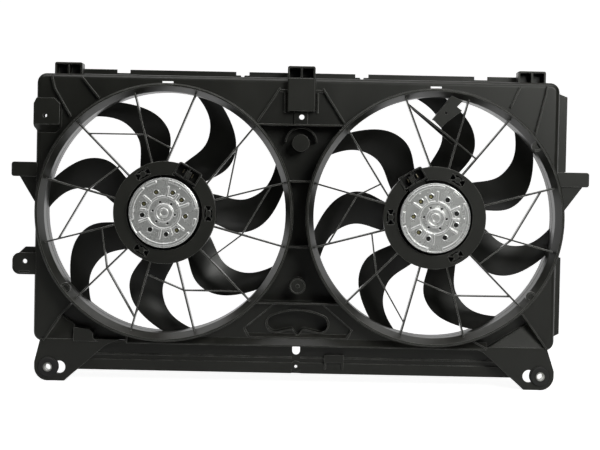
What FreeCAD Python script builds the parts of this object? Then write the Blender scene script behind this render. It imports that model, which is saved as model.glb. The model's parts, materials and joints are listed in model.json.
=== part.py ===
import FreeCAD, Part
import math
import os

# Dual electric cooling fan for a radiator, in millimetres.
# X runs along the shroud, Y runs from the engine side (-) to the radiator side (+), Z is up.
# The origin is midway between the two lower isolator bores.

os.makedirs("parts", exist_ok=True)

# Clearances
RUNNING_FIT = 0.03         # shaft in its bearings
AIR_GAP = 0.8              # armature core to magnets
BRUSH_GAP = 0.3            # brush face to commutator
SEAT_GAP = 0.02            # two pieces that rest against each other

# Duct rings
LIP_RADIUS = 190.0         # bore of the still lip, the same as the turning ring behind it
BELL_REACH = 12.5          # from the lip out to the outside of the ring
DUCT_RADIUS = LIP_RADIUS + BELL_REACH
DUCT_WALL = 2.5
DUCT_FRONT = -38.0         # front rim
DUCT_BACK = 50.0
RIM_ROUND = 2.0            # soft outer edge of the front rim
LIP_FRONT = -18.0
LIP_BACK = 12.0
DUCT_GAP = 19.0            # between the two duct rings
RING_CLIP_INSET = 8.0      # middle of a moulded clip inside the ring's outer face
RING_CLIP_RADIUS = 8.0

# Pan that carries the rings
PAN_DEPTH = 60.0
PAN_WALL = 2.6
PAN_BOTTOM = 40.0          # above the isolator bores
PAN_LEFT_MARGIN = 4.5      # panel edge outside the left ring
PAN_RIGHT_MARGIN = -6.5    # the right ring stands past the panel edge
PAN_TOP_MARGIN = 13.9
PAN_BOTTOM_MARGIN = 6.1
PAN_CORNER = 15.0
PAN_EDGE = 8.0             # rounding of the front edges

# Fan places
FAN_SPACING = 2 * DUCT_RADIUS + DUCT_GAP
FAN_MIDDLE_X = 4.0         # midpoint of the fans, beside the midpoint of the isolators
FAN_Z = PAN_BOTTOM + PAN_BOTTOM_MARGIN + DUCT_RADIUS
FAN_X = {"left": FAN_MIDDLE_X - FAN_SPACING / 2, "right": FAN_MIDDLE_X + FAN_SPACING / 2}
PAN_LEFT = FAN_X["left"] - DUCT_RADIUS - PAN_LEFT_MARGIN
PAN_RIGHT = FAN_X["right"] + DUCT_RADIUS + PAN_RIGHT_MARGIN
PAN_TOP = FAN_Z + DUCT_RADIUS + PAN_TOP_MARGIN

# Sealing flanges at the radiator side
FLANGE_THICK = 4.0
FLANGE_RISE = 10.5
NOTCH_WIDTH = 21.0
NOTCH_DEPTH = 5.5
NOTCH_PITCH = 191.7
NOTCH_DIP = 3.0            # round dip under the two middle notches
UPPER_STRIP_OUT = 20.0     # side strips beyond the right wall
LOWER_STRIP_OUT = 15.0
UPPER_STRIP_DROP = 20.0    # upper strip's top under the panel's top edge
STRIP_TAPER = 9.0

# Box tabs on the top wall
RIB_WIDTH = 2.5
TAB_WIDTH = 44.0
TAB_RISE = 18.5
TAB_FRONT = 16.0
TAB_BACK = 46.0
TAB_WALL = 3.0
LEFT_TAB_INSET = 48.0      # middle of each outer tab from the pan's edge
RIGHT_TAB_INSET = 43.0
SLOT_WIDTH = 17.5          # slots in the panel above the rings
SLOT_HEIGHT = 3.0

# Ears on the side walls
EAR_TOP = PAN_TOP - 141.0
EAR_HEIGHT = 23.0
EAR_DEPTH = 22.0
LEFT_EAR_REACH = 38.0
RIGHT_EAR_REACH = 49.0
EAR_CORNER = 4.0
GUSSET_FOOT = {"left": 47.0, "right": 58.0}    # height of the gusset under each upper ear
GUSSET_INSET = {"left": 12.0, "right": 9.0}
LOWER_EAR_BOTTOM = PAN_BOTTOM + 105.5
LOWER_EAR_HEIGHT = 34.5
LOWER_EAR_REACH = LEFT_EAR_REACH - 3.0
LOWER_EAR_RIB = 9.5        # height of the sloping rib over it
LOWER_EAR_THICK = 6.0
LOWER_EAR_FRONT = 2.0
LOWER_EAR_HOLE = 3.5
LOWER_EAR_HOLE_X = PAN_LEFT - 15.0
LOWER_EAR_HOLE_Z = PAN_BOTTOM + 126.5

# Box bracket on the upper left corner
BRACKET_RISE = 24.0
BRACKET_LEFT = PAN_LEFT - 1.0
BRACKET_WIDTH = 41.0
BRACKET_TOP = PAN_TOP - 40.0
BRACKET_HEIGHT = 54.0
BRACKET_CUT = 9.0          # cut corners
BRACKET_SLOPE = 13.0       # height of the sunk lower face
BRACKET_HOLE = 3.2
BRACKET_HOLE_X = PAN_LEFT + 17.0
BRACKET_HOLE_Z = PAN_TOP - 67.8

# Deep space between the rings
WELL_FLOOR = 30.0
WELL_TOP = PAN_TOP - 76.0
WELL_BOTTOM = PAN_BOTTOM + 70.0
SHELF_RISE = 16.0
CROSS_RIB_FRONT = -8.0
UPPER_CROSS_RIB = WELL_TOP - 89.0
LOWER_CROSS_RIB = WELL_BOTTOM + 86.0
UPPER_BOSS = 13.5
UPPER_BOSS_Z = WELL_TOP - 27.0
LOWER_BOSS = 12.7
LOWER_BOSS_X = FAN_MIDDLE_X - 1.0
LOWER_BOSS_Z = WELL_BOTTOM + 26.0
BOSS_FRONT = -10.0
ARCH_RADIUS = 26.0         # curved rib over the upper boss

# Clip plate, post and flared walls at the middle of the top
PLATE_X = FAN_MIDDLE_X - 0.5
PLATE_HALF = 22.0
PLATE_RISE = 22.0
PLATE_TOP = PAN_TOP - 2.0
PLATE_BOTTOM = PAN_TOP - 53.0
FLARE_RISE = 9.0
FLARE_OFFSET = 12.0        # top of each flared wall beyond the plate
FLARE_SPREAD = 35.0
STRAP_RISE = 8.0
POST_HALF = 10.5
POST_FRONT = -5.0
POST_HOLE = 4.0
POST_HOLE_X = FAN_MIDDLE_X + 0.5
POST_HOLE_Z = WELL_TOP + 14.0

# Sunk tray and bean-shaped pocket under the rings, heights from the pan's bottom
RECESS_FLOOR = 9.0
RECESS_FOOT = 14.0
RECESS_WIDE = 27.0
RECESS_LEDGE = 5.5        # height of the slope along the tray's foot
BEAN_RIM = 4.0
BEAN_BACK = 42.0
BEAN_LOW = 22.0
BEAN_MIDDLE = 38.5
BEAN_HIGH = 56.0
BEAN_HALF = 47.5           # half length, to the round ends
BEAN_SHOULDER = 38.0
BEAN_FOOT = 34.0
BEAN_NOTCH = 12.0          # half width of the dip in the pocket's lower side
BEAN_DIP = 5.0

# Lip along the panel's bottom edge and the sunk corners beside the rings
FOOT_REACH = 7.0
FOOT_HEIGHT = 12.0
CORNER_FLOOR = 22.0
CORNER_DROP = 14.0         # top of each sloping corner face behind the panel
CORNER_PROUD = 4.0
CORNER_BOX_PROUD = 9.0

# Lower rail and isolator tabs
ISOLATOR_INSET = 23.5      # mean distance of an isolator from the pan's edge
ISOLATOR_SPACING = PAN_RIGHT - PAN_LEFT - 2 * ISOLATOR_INSET
RAIL_FRONT = 28.0
RAIL_THICK = 3.0
RAIL_HALF = ISOLATOR_SPACING / 2 - 39.0
RAIL_BOTTOM = -6.0
RAIL_SLOT_X = FAN_MIDDLE_X - 1.2
RAIL_SLOT_HALF = 6.2
RAIL_BOSS = 8.7
RAIL_HOLE = 2.4
RAIL_HOLE_Z = RAIL_BOTTOM + 11.0
CLIP_LEFT = FAN_MIDDLE_X + 44.0
CLIP_WIDTH = 31.0
TAB_THICK = 8.0
TAB_ROUND = 22.0
NECK_RADIUS = 12.5
RUBBER_RADIUS = 16.0
RUBBER_LENGTH = 18.0
SLEEVE_RADIUS = 7.0
SLEEVE_BORE = 5.0
SLEEVE_LENGTH = 20.0
KEYHOLE_RADIUS = 10.0
KEYHOLE_INBOARD = 17.5

# Motor can and its cap
YOKE_RADIUS = 52.5
YOKE_WALL = 2.5
YOKE_BACK = 22.0
CAP_SKIRT = 2.2            # cap's wall outside the can
CAP_RADIUS = YOKE_RADIUS + CAP_SKIRT
CAP_FRONT = -41.0
CAP_THICK = 2.0
CAP_RING = CAP_RADIUS - 29.2    # raised ring on the cap
VENT_CIRCLE = CAP_RADIUS - 20.7
VENT_RADIUS = 3.2
VENT_RIB_WIDTH = 2.4

# Motor carrier
CARRIER_INNER = CAP_RADIUS + 4.8
CARRIER_OUTER = CARRIER_INNER + 21.0
CARRIER_FRONT = -28.0
CARRIER_PLATE = 2.6
CARRIER_BACK = -6.0
CARRIER_SKIRT = 2.2
SCREW_CIRCLE = CARRIER_INNER + 9.5
SCREW_BOSS = 4.6
SCREW_PILOT = 1.9
CELL_OUT = 6.4             # blind pocket round each screw boss, from its middle
CELL_ALONG = 11.6
CELL_WALL = 2.2
CELL_RIB = 1.8
CONNECTOR_WIDTH = 40.0
CONNECTOR_WALL = 2.0

# Spokes and the thin links between them
SPOKE_FRONT = -26.0
SPOKE_BACK = CARRIER_BACK
SPOKE_WIDTH = 2.6
LINK_WIDTH = 2.2
LINK_FRONT = -24.0
LINK_BACK = -9.0
LINK_OUTER = 0.836         # places of the links, as shares of the way from the carrier to the lip
LINK_LATE = 0.673
LINK_MIDDLE = 0.418
LINK_INNER = 0.19
PLATE_FRONT = -30.0        # wiring plate on the right spokes
PLATE_THICK = 2.5

# Motor
MAGNET_THICK = 6.5
MAGNET_ARC = 72.0
MAGNET_BACK = 14.0
MAGNET_FRONT = -16.0
SHAFT_RADIUS = 4.0
SHAFT_FRONT = -38.0
SHAFT_BACK = 55.0
BEARING_RADIUS = 11.0
BEARING_WIDTH = 7.0
BEARING_RACE = 2.2
BEARING_LIP = 1.5          # can's turned-in edge behind the rear bearing
COMMUTATOR_RADIUS = 13.0
COMMUTATOR_LENGTH = 10.0
CORE_BACK = 11.0
CORE_FRONT = -13.0
CORE_SLOTS = 12
BRUSH_WIDTH = 6.0
BRUSH_LENGTH = 13.0
BRUSH_PLATE_FRONT = -31.5
BRUSH_PLATE_THICK = 2.0
GUIDE_WALL = 1.5
SPRING_LENGTH = 9.0
SPRING_RADIUS = 2.5
SPRING_WIRE = 0.8
SLOT_RADIUS = 4.2
END_TURN = 8.0
SCREW_HEAD = 5.0
SCREW_HEAD_HEIGHT = 3.2
SCREW_SHANK = 1.85
SCREW_REACH = 15.0         # shank inside the carrier's boss

# Fan
FAN_FRONT = 18.0
FAN_BACK = 48.0
FAN_RING_STEP = 0.4        # turning ring's bore beyond the still lip
FAN_RING_WALL = 3.0
FAN_RING_FLARE = 3.0
HUB_RADIUS = CARRIER_OUTER - 4.5
HUB_WALL = 2.6
HUB_FRONT = 16.0
HUB_FACE = FAN_BACK - 4.0
HUB_BOSS = 14.0
HUB_ROUND = 6.0
BLADES = 7
BLADE_THICK = 2.6
BLADE_CAMBER = 0.06
BLADE_FRONT = 20.0         # trailing edge, engine side
BLADE_BACK = 46.0          # leading edge, radiator side
NUT_RADIUS = 9.0
NUT_LENGTH = 8.0

# Direction of one blade tip and of the connector on each side, degrees up from +X
BLADE_PHASE = {"left": 118.0, "right": 139.9}
CONNECTOR_ANGLE = {"left": 60.0, "right": 120.0}
SCREW_ANGLE = {"left": 0.0, "right": 180.0}

# Blade outline: share of the way from the hub to the lip, then the clockwise and the other edge
# in degrees from the blade's direction
BLADE_STATIONS = [
    (-0.05, -26.5, 10.5), (0.10, -28.9, 3.4), (0.25, -30.4, -2.4), (0.40, -29.8, -4.9), (0.56, -26.2, -4.0),
    (0.70, -20.9, -1.5), (0.84, -13.3, 2.8), (0.965, -5.7, 8.1), (1.053, 0.2, 12.6),
]

Y_AXIS = FreeCAD.Vector(0, 1, 0)


def vec(x, y, z):
    return FreeCAD.Vector(x, y, z)


def polar(centre_x, radius, degrees, y=0.0, centre_z=FAN_Z):
    """Point on a circle round a fan axis, as seen from the engine side."""
    angle = math.radians(degrees)
    return vec(centre_x + radius * math.cos(angle), y, centre_z + radius * math.sin(angle))


def block(x0, x1, y0, y1, z0, z1):
    return Part.makeBox(x1 - x0, y1 - y0, z1 - z0, vec(x0, y0, z0))


def rod(x, z, radius, y0, y1):
    return Part.makeCylinder(radius, y1 - y0, vec(x, y0, z), Y_AXIS)


def tube(x, z, outer, inner, y0, y1):
    return rod(x, z, outer, y0, y1).cut(rod(x, z, inner, y0 - 1, y1 + 1))


def prism(points, y0, y1):
    """Plate with an outline of (x, z) points, from y0 back to y1."""
    ring = [vec(x, y0, z) for x, z in points]
    face = Part.Face(Part.makePolygon(ring + [ring[0]]))
    return face.extrude(vec(0, y1 - y0, 0))


def bar_along_x(points, x0, x1):
    """Bar with an outline of (y, z) points, from x0 to x1."""
    ring = [vec(x0, y, z) for y, z in points]
    face = Part.Face(Part.makePolygon(ring + [ring[0]]))
    return face.extrude(vec(x1 - x0, 0, 0))


def wall(start, end, width, y0, y1):
    """Straight upright rib between two (x, z) points."""
    dx, dz = end[0] - start[0], end[1] - start[1]
    length = math.hypot(dx, dz)
    nx, nz = -dz / length * width / 2, dx / length * width / 2
    return prism([(start[0] + nx, start[1] + nz), (end[0] + nx, end[1] + nz),
                  (end[0] - nx, end[1] - nz), (start[0] - nx, start[1] - nz)], y0, y1)


def path_wall(points, width, y0, y1):
    """Rib along several (x, z) points, with round joints."""
    pieces = [wall(a, b, width, y0, y1) for a, b in zip(points, points[1:])]
    pieces += [rod(x, z, width / 2, y0, y1) for x, z in points[1:-1]]
    return join(pieces)


def join(pieces):
    if len(pieces) == 1:
        return pieces[0]
    return pieces[0].multiFuse(pieces[1:]).removeSplitter()


def turned(profile, x, z=FAN_Z):
    """Ring or cup from a closed (radius, y) profile turned about the axis along Y."""
    ring = [vec(x + radius, y, z) for radius, y in profile]
    face = Part.Face(Part.makePolygon(ring + [ring[0]]))
    return face.revolve(vec(x, 0, z), Y_AXIS, 360)


def round_edges(shape, radius, chosen):
    edges = [edge for edge in shape.Edges if chosen(edge)]
    return shape.makeFillet(radius, edges)


def along_y(edge):
    a, b = edge.Vertexes[0].Point, edge.Vertexes[-1].Point
    return abs(a.x - b.x) < 1e-6 and abs(a.z - b.z) < 1e-6 and abs(a.y - b.y) > 1e-3


def rounded_block(x0, x1, y0, y1, z0, z1, corner):
    return round_edges(block(x0, x1, y0, y1, z0, z1), corner, along_y)


def save(name, solids):
    shape = Part.makeCompound(solids) if len(solids) > 1 else solids[0]
    shape.exportStep("parts/" + name + ".step")


# Shroud: panel, duct rings, deep space between them, sunk tray and lower rail

def pan_block(inset):
    """The pan's outline, drawn in by the wall for its hollow."""
    front = inset
    box = block(PAN_LEFT + inset, PAN_RIGHT - inset, front, PAN_DEPTH + 2 * inset,
                PAN_BOTTOM + inset, PAN_TOP - inset)
    box = round_edges(box, PAN_CORNER - inset, along_y)
    return round_edges(box, PAN_EDGE - inset, lambda e: e.BoundBox.YMax < front + 1e-3)


def duct_profile():
    """J-shaped section: outer wall, front rim, bell mouth and hanging lip."""
    inner = DUCT_RADIUS - DUCT_WALL
    return [(DUCT_RADIUS, DUCT_BACK), (DUCT_RADIUS, DUCT_FRONT + RIM_ROUND),
            (DUCT_RADIUS - RIM_ROUND, DUCT_FRONT), (inner - RIM_ROUND, DUCT_FRONT),
            (LIP_RADIUS, LIP_FRONT), (LIP_RADIUS, LIP_BACK), (LIP_RADIUS + DUCT_WALL, LIP_BACK),
            (LIP_RADIUS + DUCT_WALL, LIP_FRONT + DUCT_WALL / 2),
            (inner, DUCT_FRONT + 2 * DUCT_WALL), (inner, DUCT_BACK)]


def bore_solid(x):
    """The still air space inside a duct ring, which trims the spokes at the bell mouth."""
    inner = DUCT_RADIUS - DUCT_WALL
    return turned([(0, DUCT_FRONT), (inner - RIM_ROUND, DUCT_FRONT), (LIP_RADIUS, LIP_FRONT),
                   (LIP_RADIUS, LIP_BACK), (0, LIP_BACK)], x)


def ring_clips(side):
    """Round wiring clips that are moulded onto the bell mouth."""
    places = {"left": [218.4], "right": [-38.2, 36.2]}[side]
    clips = []
    for degrees in places:
        spot = polar(FAN_X[side], DUCT_RADIUS - RING_CLIP_INSET, degrees)
        clip = rod(spot.x, spot.z, RING_CLIP_RADIUS, DUCT_FRONT + 2, LIP_FRONT - 2)
        clip = clip.cut(rod(spot.x, spot.z, RING_CLIP_RADIUS - 3, DUCT_FRONT + 1, DUCT_FRONT + 5))
        clips.append(clip.common(rod(FAN_X[side], FAN_Z, DUCT_RADIUS - RIM_ROUND / 2, DUCT_FRONT, 0)))
    return clips


def duct_ring(side):
    return join([turned(duct_profile(), FAN_X[side])] + ring_clips(side))


def duct_holes(y0, y1):
    return [rod(x, FAN_Z, DUCT_RADIUS, y0, y1) for x in FAN_X.values()]


def between_rings(shape):
    """What is left of a shape outside the two duct rings."""
    for hole in duct_holes(DUCT_FRONT - 1, PAN_DEPTH + 1):
        shape = shape.cut(hole)
    return shape


def left_tab_x():
    return PAN_LEFT + LEFT_TAB_INSET


def right_tab_x():
    return PAN_RIGHT - RIGHT_TAB_INSET


def top_flange():
    """Sealing strip behind the top wall, from tab to tab, with four notches."""
    z0 = PAN_TOP - PAN_WALL
    z1 = PAN_TOP + FLANGE_RISE
    y0 = PAN_DEPTH - FLANGE_THICK
    plate = block(left_tab_x(), right_tab_x(), y0, PAN_DEPTH, z0, z1)
    for place in (-1.5, -0.5, 0.5, 1.5):
        x = FAN_MIDDLE_X + place * NOTCH_PITCH
        plate = plate.cut(block(x - NOTCH_WIDTH / 2, x + NOTCH_WIDTH / 2, y0 - 1, PAN_DEPTH + 1,
                                z1 - NOTCH_DEPTH, z1 + 1))
    for place in (-0.5, 0.5):
        x = FAN_MIDDLE_X + place * NOTCH_PITCH
        plate = plate.cut(rod(x, z1 - NOTCH_DEPTH, NOTCH_DIP, y0 - 1, PAN_DEPTH + 1))
    return plate


def side_flanges():
    """Two upright strips outside the right wall, with tapered ends and a rib beside them."""
    y0 = PAN_DEPTH - FLANGE_THICK
    x0 = PAN_RIGHT - PAN_WALL
    rib_x = PAN_RIGHT + 4
    pieces = []
    for out, z0, z1 in ((UPPER_STRIP_OUT, EAR_TOP + 1, PAN_TOP - UPPER_STRIP_DROP),
                        (LOWER_STRIP_OUT, PAN_BOTTOM + 23, LOWER_EAR_BOTTOM + LOWER_EAR_HEIGHT + 6)):
        x1 = PAN_RIGHT + out
        pieces.append(prism([(x0, z0 - STRIP_TAPER), (x1, z0), (x1, z1), (x0, z1 + STRIP_TAPER)],
                            y0, PAN_DEPTH))
        pieces.append(block(rib_x, rib_x + RIB_WIDTH, y0 - 10, PAN_DEPTH, z0, z1))
    return pieces


def top_tab(x, front=TAB_FRONT):
    """Open-front box on the pan's top wall, with a divider in the middle."""
    half = TAB_WIDTH / 2
    z0, z1 = PAN_TOP - PAN_WALL, PAN_TOP + TAB_RISE
    box = rounded_block(x - half, x + half, front, TAB_BACK, z0, z1, TAB_WALL)
    for side in (-1, 1):
        near, far = TAB_WALL / 2, half - TAB_WALL
        x0, x1 = sorted((x + side * near, x + side * far))
        box = box.cut(block(x0, x1, front - 1, TAB_BACK - TAB_WALL, PAN_TOP, z1 - TAB_WALL))
    return box


def hollow_ear(x0, x1):
    """Ear as a shallow box, open at the radiator side."""
    low = EAR_TOP - EAR_HEIGHT
    ear = rounded_block(x0, x1, 0, EAR_DEPTH, low, EAR_TOP, EAR_CORNER)
    return ear.cut(block(x0 + PAN_WALL, x1 - PAN_WALL, PAN_WALL, EAR_DEPTH + 1,
                         low + PAN_WALL, EAR_TOP - PAN_WALL))


def gusset(tip_x, wall_x, foot):
    """Web under an ear, from near its end down to the wall."""
    top = EAR_TOP - EAR_HEIGHT + 1
    return prism([(tip_x, top), (wall_x, top), (wall_x, top - foot)], 4, 4 + RIB_WIDTH)


def lower_ear():
    """Flat pierced ear on the left wall, with a cast-in groove and a sloping rib over it."""
    wall_x = PAN_LEFT + PAN_WALL
    end = PAN_LEFT - LOWER_EAR_REACH
    front, back = LOWER_EAR_FRONT, LOWER_EAR_FRONT + LOWER_EAR_THICK
    z0, z1 = LOWER_EAR_BOTTOM, LOWER_EAR_BOTTOM + LOWER_EAR_HEIGHT
    ear = round_edges(block(end, wall_x, front, back, z0, z1), 3 * EAR_CORNER,
                      lambda e: along_y(e) and e.BoundBox.XMax < end + 1)
    ear = ear.cut(rod(LOWER_EAR_HOLE_X, LOWER_EAR_HOLE_Z, LOWER_EAR_HOLE, front - 1, back + 1))
    ear = ear.cut(block(end + 11, PAN_LEFT - 8, front - 1, front + 1.2, z0 + 3, z0 + 6))
    rib = prism([(end + 9, z1 - 1), (wall_x, z1 - 1), (wall_x, z1 + LOWER_EAR_RIB),
                 (end + 20, z1 + LOWER_EAR_RIB)], back, back + RIB_WIDTH)
    return [ear, rib]


def ears():
    left, right = PAN_LEFT - LEFT_EAR_REACH, PAN_RIGHT + RIGHT_EAR_REACH
    left_wall, right_wall = PAN_LEFT + PAN_WALL, PAN_RIGHT - PAN_WALL
    left_web = gusset(left + GUSSET_INSET["left"], left_wall, GUSSET_FOOT["left"])
    right_web = gusset(right - GUSSET_INSET["right"], right_wall, GUSSET_FOOT["right"])
    return [hollow_ear(left, left_wall), left_web, hollow_ear(right_wall, right), right_web] + lower_ear()


def box_bracket():
    """Raised box on the upper left corner, with cut corners, a sunk lower face and a through hole."""
    x0, x1 = BRACKET_LEFT, BRACKET_LEFT + BRACKET_WIDTH
    z0, z1 = BRACKET_TOP - BRACKET_HEIGHT, BRACKET_TOP
    cut = BRACKET_CUT
    front = -BRACKET_RISE
    outline = [(x0, z0 + cut), (x0 + cut / 2, z0), (x1 - cut, z0), (x1, z0 + cut),
               (x1, z1 - cut), (x1 - cut, z1), (x0 + cut / 2, z1), (x0, z1 - cut)]
    box = prism(outline, front, PAN_WALL)
    slope = bar_along_x([(front - 1, z0 + BRACKET_SLOPE), (0, z0), (front - 1, z0)], x0 - 1, x1 + 1)
    hollow = block(x0 + PAN_WALL, x1 - PAN_WALL, front + PAN_WALL, PAN_WALL + 1,
                   z0 + BRACKET_SLOPE + PAN_WALL, z1 - cut)
    return box.cut(slope).cut(hollow)


def bracket_hole():
    return rod(BRACKET_HOLE_X, BRACKET_HOLE_Z, BRACKET_HOLE, -BRACKET_RISE - 1, PAN_WALL + 1)


def well_region(y0, y1):
    """Deep space between the rings, from the upper shelf down to the lower one."""
    return between_rings(block(FAN_X["left"], FAN_X["right"], y0, y1, WELL_BOTTOM, WELL_TOP))


def centre_well():
    """Floor, shelves, cross ribs and the two round bosses of the deep space."""
    x0, x1 = FAN_X["left"], FAN_X["right"]
    floor_back = WELL_FLOOR + PAN_WALL
    joint = WELL_FLOOR + 1
    pieces = [well_region(WELL_FLOOR, floor_back)]
    for z in (WELL_TOP, WELL_BOTTOM - RIB_WIDTH):
        pieces.append(between_rings(block(x0, x1, -SHELF_RISE, floor_back, z, z + RIB_WIDTH)))
    for z in (UPPER_CROSS_RIB, LOWER_CROSS_RIB):
        pieces.append(between_rings(block(x0, x1, CROSS_RIB_FRONT, joint, z, z + RIB_WIDTH)))
    arch = tube(FAN_MIDDLE_X, UPPER_BOSS_Z, ARCH_RADIUS, ARCH_RADIUS - RIB_WIDTH, 6, joint)
    arch = arch.cut(block(FAN_MIDDLE_X - ARCH_RADIUS - 1, FAN_MIDDLE_X + ARCH_RADIUS + 1, 0, floor_back,
                          UPPER_BOSS_Z - ARCH_RADIUS - 1, UPPER_BOSS_Z + 2))
    pieces += [rod(FAN_MIDDLE_X, UPPER_BOSS_Z, UPPER_BOSS, BOSS_FRONT, joint), between_rings(arch)]
    boss = rod(LOWER_BOSS_X, LOWER_BOSS_Z, LOWER_BOSS, BOSS_FRONT, joint)
    boss = boss.cut(tube(LOWER_BOSS_X, LOWER_BOSS_Z, LOWER_BOSS - 2, 3, BOSS_FRONT - 1, BOSS_FRONT + 2))
    return join(pieces + [boss])


def centre_top():
    """Proud clip plate under the middle tab, its post, and the flared walls beside it."""
    x = PLATE_X
    half = PLATE_HALF
    front = -PLATE_RISE
    plate = block(x - half, x + half, front, 1, PLATE_BOTTOM, PLATE_TOP)
    plate = plate.cut(block(x - half + TAB_WALL, x + half - TAB_WALL, front + TAB_WALL, 2,
                            PLATE_BOTTOM - 1, PLATE_TOP - 2 * TAB_WALL))
    plate = round_edges(plate, 2.0, lambda e: e.BoundBox.YMax < front + 1e-3 and e.BoundBox.XLength < 1e-3)
    pieces = [plate]
    for side in (-1, 1):
        x0, x1 = sorted((x + side * (half + RIB_WIDTH), x + side * (half + 2 * RIB_WIDTH)))
        pieces.append(block(x0, x1, -6, 1, PLATE_BOTTOM - 2, PAN_TOP - 24))
        x0, x1 = sorted((x + side * half, x + side * (half + FLARE_OFFSET)))
        pieces.append(block(x0, x1, -4, 1, PAN_TOP - 23, PAN_TOP - 19))
        top = x + side * (half + FLARE_OFFSET)
        pieces.append(wall((top, PAN_TOP - 17), (top + side * FLARE_SPREAD, WELL_TOP + 5),
                           RIB_WIDTH, -FLARE_RISE, 1))
    pieces.append(block(x - POST_HALF, x + POST_HALF, POST_FRONT, 1, WELL_TOP, PLATE_BOTTOM + 4))
    return pieces


def post_hole():
    return rod(POST_HOLE_X, POST_HOLE_Z, POST_HOLE, -PLATE_RISE - 1, PAN_WALL + 1)


def recess_region(y0, y1, grow=0.0):
    """Space of the sunk tray: narrow at the top, under the lower shelf, and wide above the foot."""
    x = FAN_MIDDLE_X + 1
    top, wide, foot = WELL_BOTTOM - RIB_WIDTH, PAN_BOTTOM + RECESS_WIDE, PAN_BOTTOM + RECESS_FOOT
    outline = [(x - 36 - grow, top), (x + 36 + grow, top), (x + 84 + grow, wide),
               (x + 76 + grow, foot - grow), (x - 76 - grow, foot - grow), (x - 84 - grow, wide)]
    return prism(outline, y0, y1)


def bean_region(y0, y1, grow=0.0):
    """Bean-shaped pocket: arched top, round ends and a small notch at the bottom."""
    low, mid, high = PAN_BOTTOM + BEAN_LOW - grow, PAN_BOTTOM + BEAN_MIDDLE, PAN_BOTTOM + BEAN_HIGH + grow
    end = BEAN_HALF + grow
    crown = high - 8

    def at(dx, z):
        return vec(FAN_MIDDLE_X + dx, y0, z)

    edges = [Part.Arc(at(-BEAN_SHOULDER, crown), at(0, high), at(BEAN_SHOULDER, crown)).toShape(),
             Part.Arc(at(BEAN_SHOULDER, crown), at(end, mid), at(BEAN_FOOT, low)).toShape()]
    notch = [(BEAN_FOOT, low), (BEAN_NOTCH, low + BEAN_DIP), (BEAN_NOTCH - 4, low + BEAN_DIP), (1, low - 4)]
    bottom = [at(dx, z) for dx, z in notch] + [at(-dx, z) for dx, z in reversed(notch)]
    edges += [Part.LineSegment(a, b).toShape() for a, b in zip(bottom, bottom[1:])]
    edges.append(Part.Arc(at(-BEAN_FOOT, low), at(-end, mid), at(-BEAN_SHOULDER, crown)).toShape())
    return Part.Face(Part.Wire(edges)).extrude(vec(0, y1 - y0, 0))


def bottom_tray(well):
    """Sunk tray under the rings with the bean-shaped pocket standing in it."""
    tray = recess_region(0, RECESS_FLOOR + PAN_WALL, PAN_WALL)
    tray = tray.cut(recess_region(-1, RECESS_FLOOR))
    foot = PAN_BOTTOM + RECESS_FOOT
    ledge = bar_along_x([(0, foot - 1), (0, foot), (RECESS_FLOOR + 1, foot + RECESS_LEDGE),
                         (RECESS_FLOOR + 1, foot - 1)], FAN_X["left"], FAN_X["right"])
    ledge = ledge.common(recess_region(-1, RECESS_FLOOR + 1, PAN_WALL / 2))
    pocket = bean_region(RECESS_FLOOR - BEAN_RIM, BEAN_BACK, PAN_WALL)
    hollow = bean_region(RECESS_FLOOR - BEAN_RIM - 1, BEAN_BACK - PAN_WALL)
    return between_rings(join([tray, ledge, pocket]).cut(hollow)).cut(well)


def corner_straps():
    """Upright ribs that run from the outer top tabs down to the rings."""
    def left(dx, dz):
        return (PAN_LEFT + dx, PAN_TOP + dz)

    def right(dx, dz):
        return (PAN_RIGHT + dx, PAN_TOP + dz)

    lines = [[left(24, -4), left(29, -24), left(55, -68)], [left(72, -6), left(99, -38)],
             [right(-63, -7), right(-78, -40)], [right(-21, -6), right(-23, -19), right(-38, -82)]]
    return [between_rings(path_wall(line, RIB_WIDTH, -STRAP_RISE, 1)) for line in lines]


def corner_outline(side, points):
    """Outline from distances in from the side wall and up from the pan's bottom, as (x, z)."""
    edge, way = {"left": (PAN_LEFT, 1), "right": (PAN_RIGHT, -1)}[side]
    return [(edge + way * inward, PAN_BOTTOM + rise) for inward, rise in points]


CORNER_WALLS = {"left": [[(59, 60), (43, 42), (17, 2)], [(149, 2), (149, 20)]],
                "right": [[(54, 60), (41, 43), (12, 3)], [(107, 2), (134, 16)]]}
CORNER_FACES = {"left": [(43, 40), (64, 27), (64, 2), (18, 2)], "right": [(42, 41), (12, 2), (105, 2)]}
CORNER_SPACES = {"left": [(59, 60), (43, 42), (18, 3), (149, 3), (149, 40), (100, 90)],
                 "right": [(54, 60), (41, 43), (12, 3), (108, 3), (134, 16), (100, 90)]}
CORNER_BOX = [(65, 24), (90, 21), (96, 16), (96, 8), (104, 2), (65, 2)]


def corner_spaces():
    """What is cut out of the panel for the sunk corners."""
    return [between_rings(prism(corner_outline(side, points), -PAN_CORNER, CORNER_FLOOR))
            for side, points in CORNER_SPACES.items()]


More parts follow.
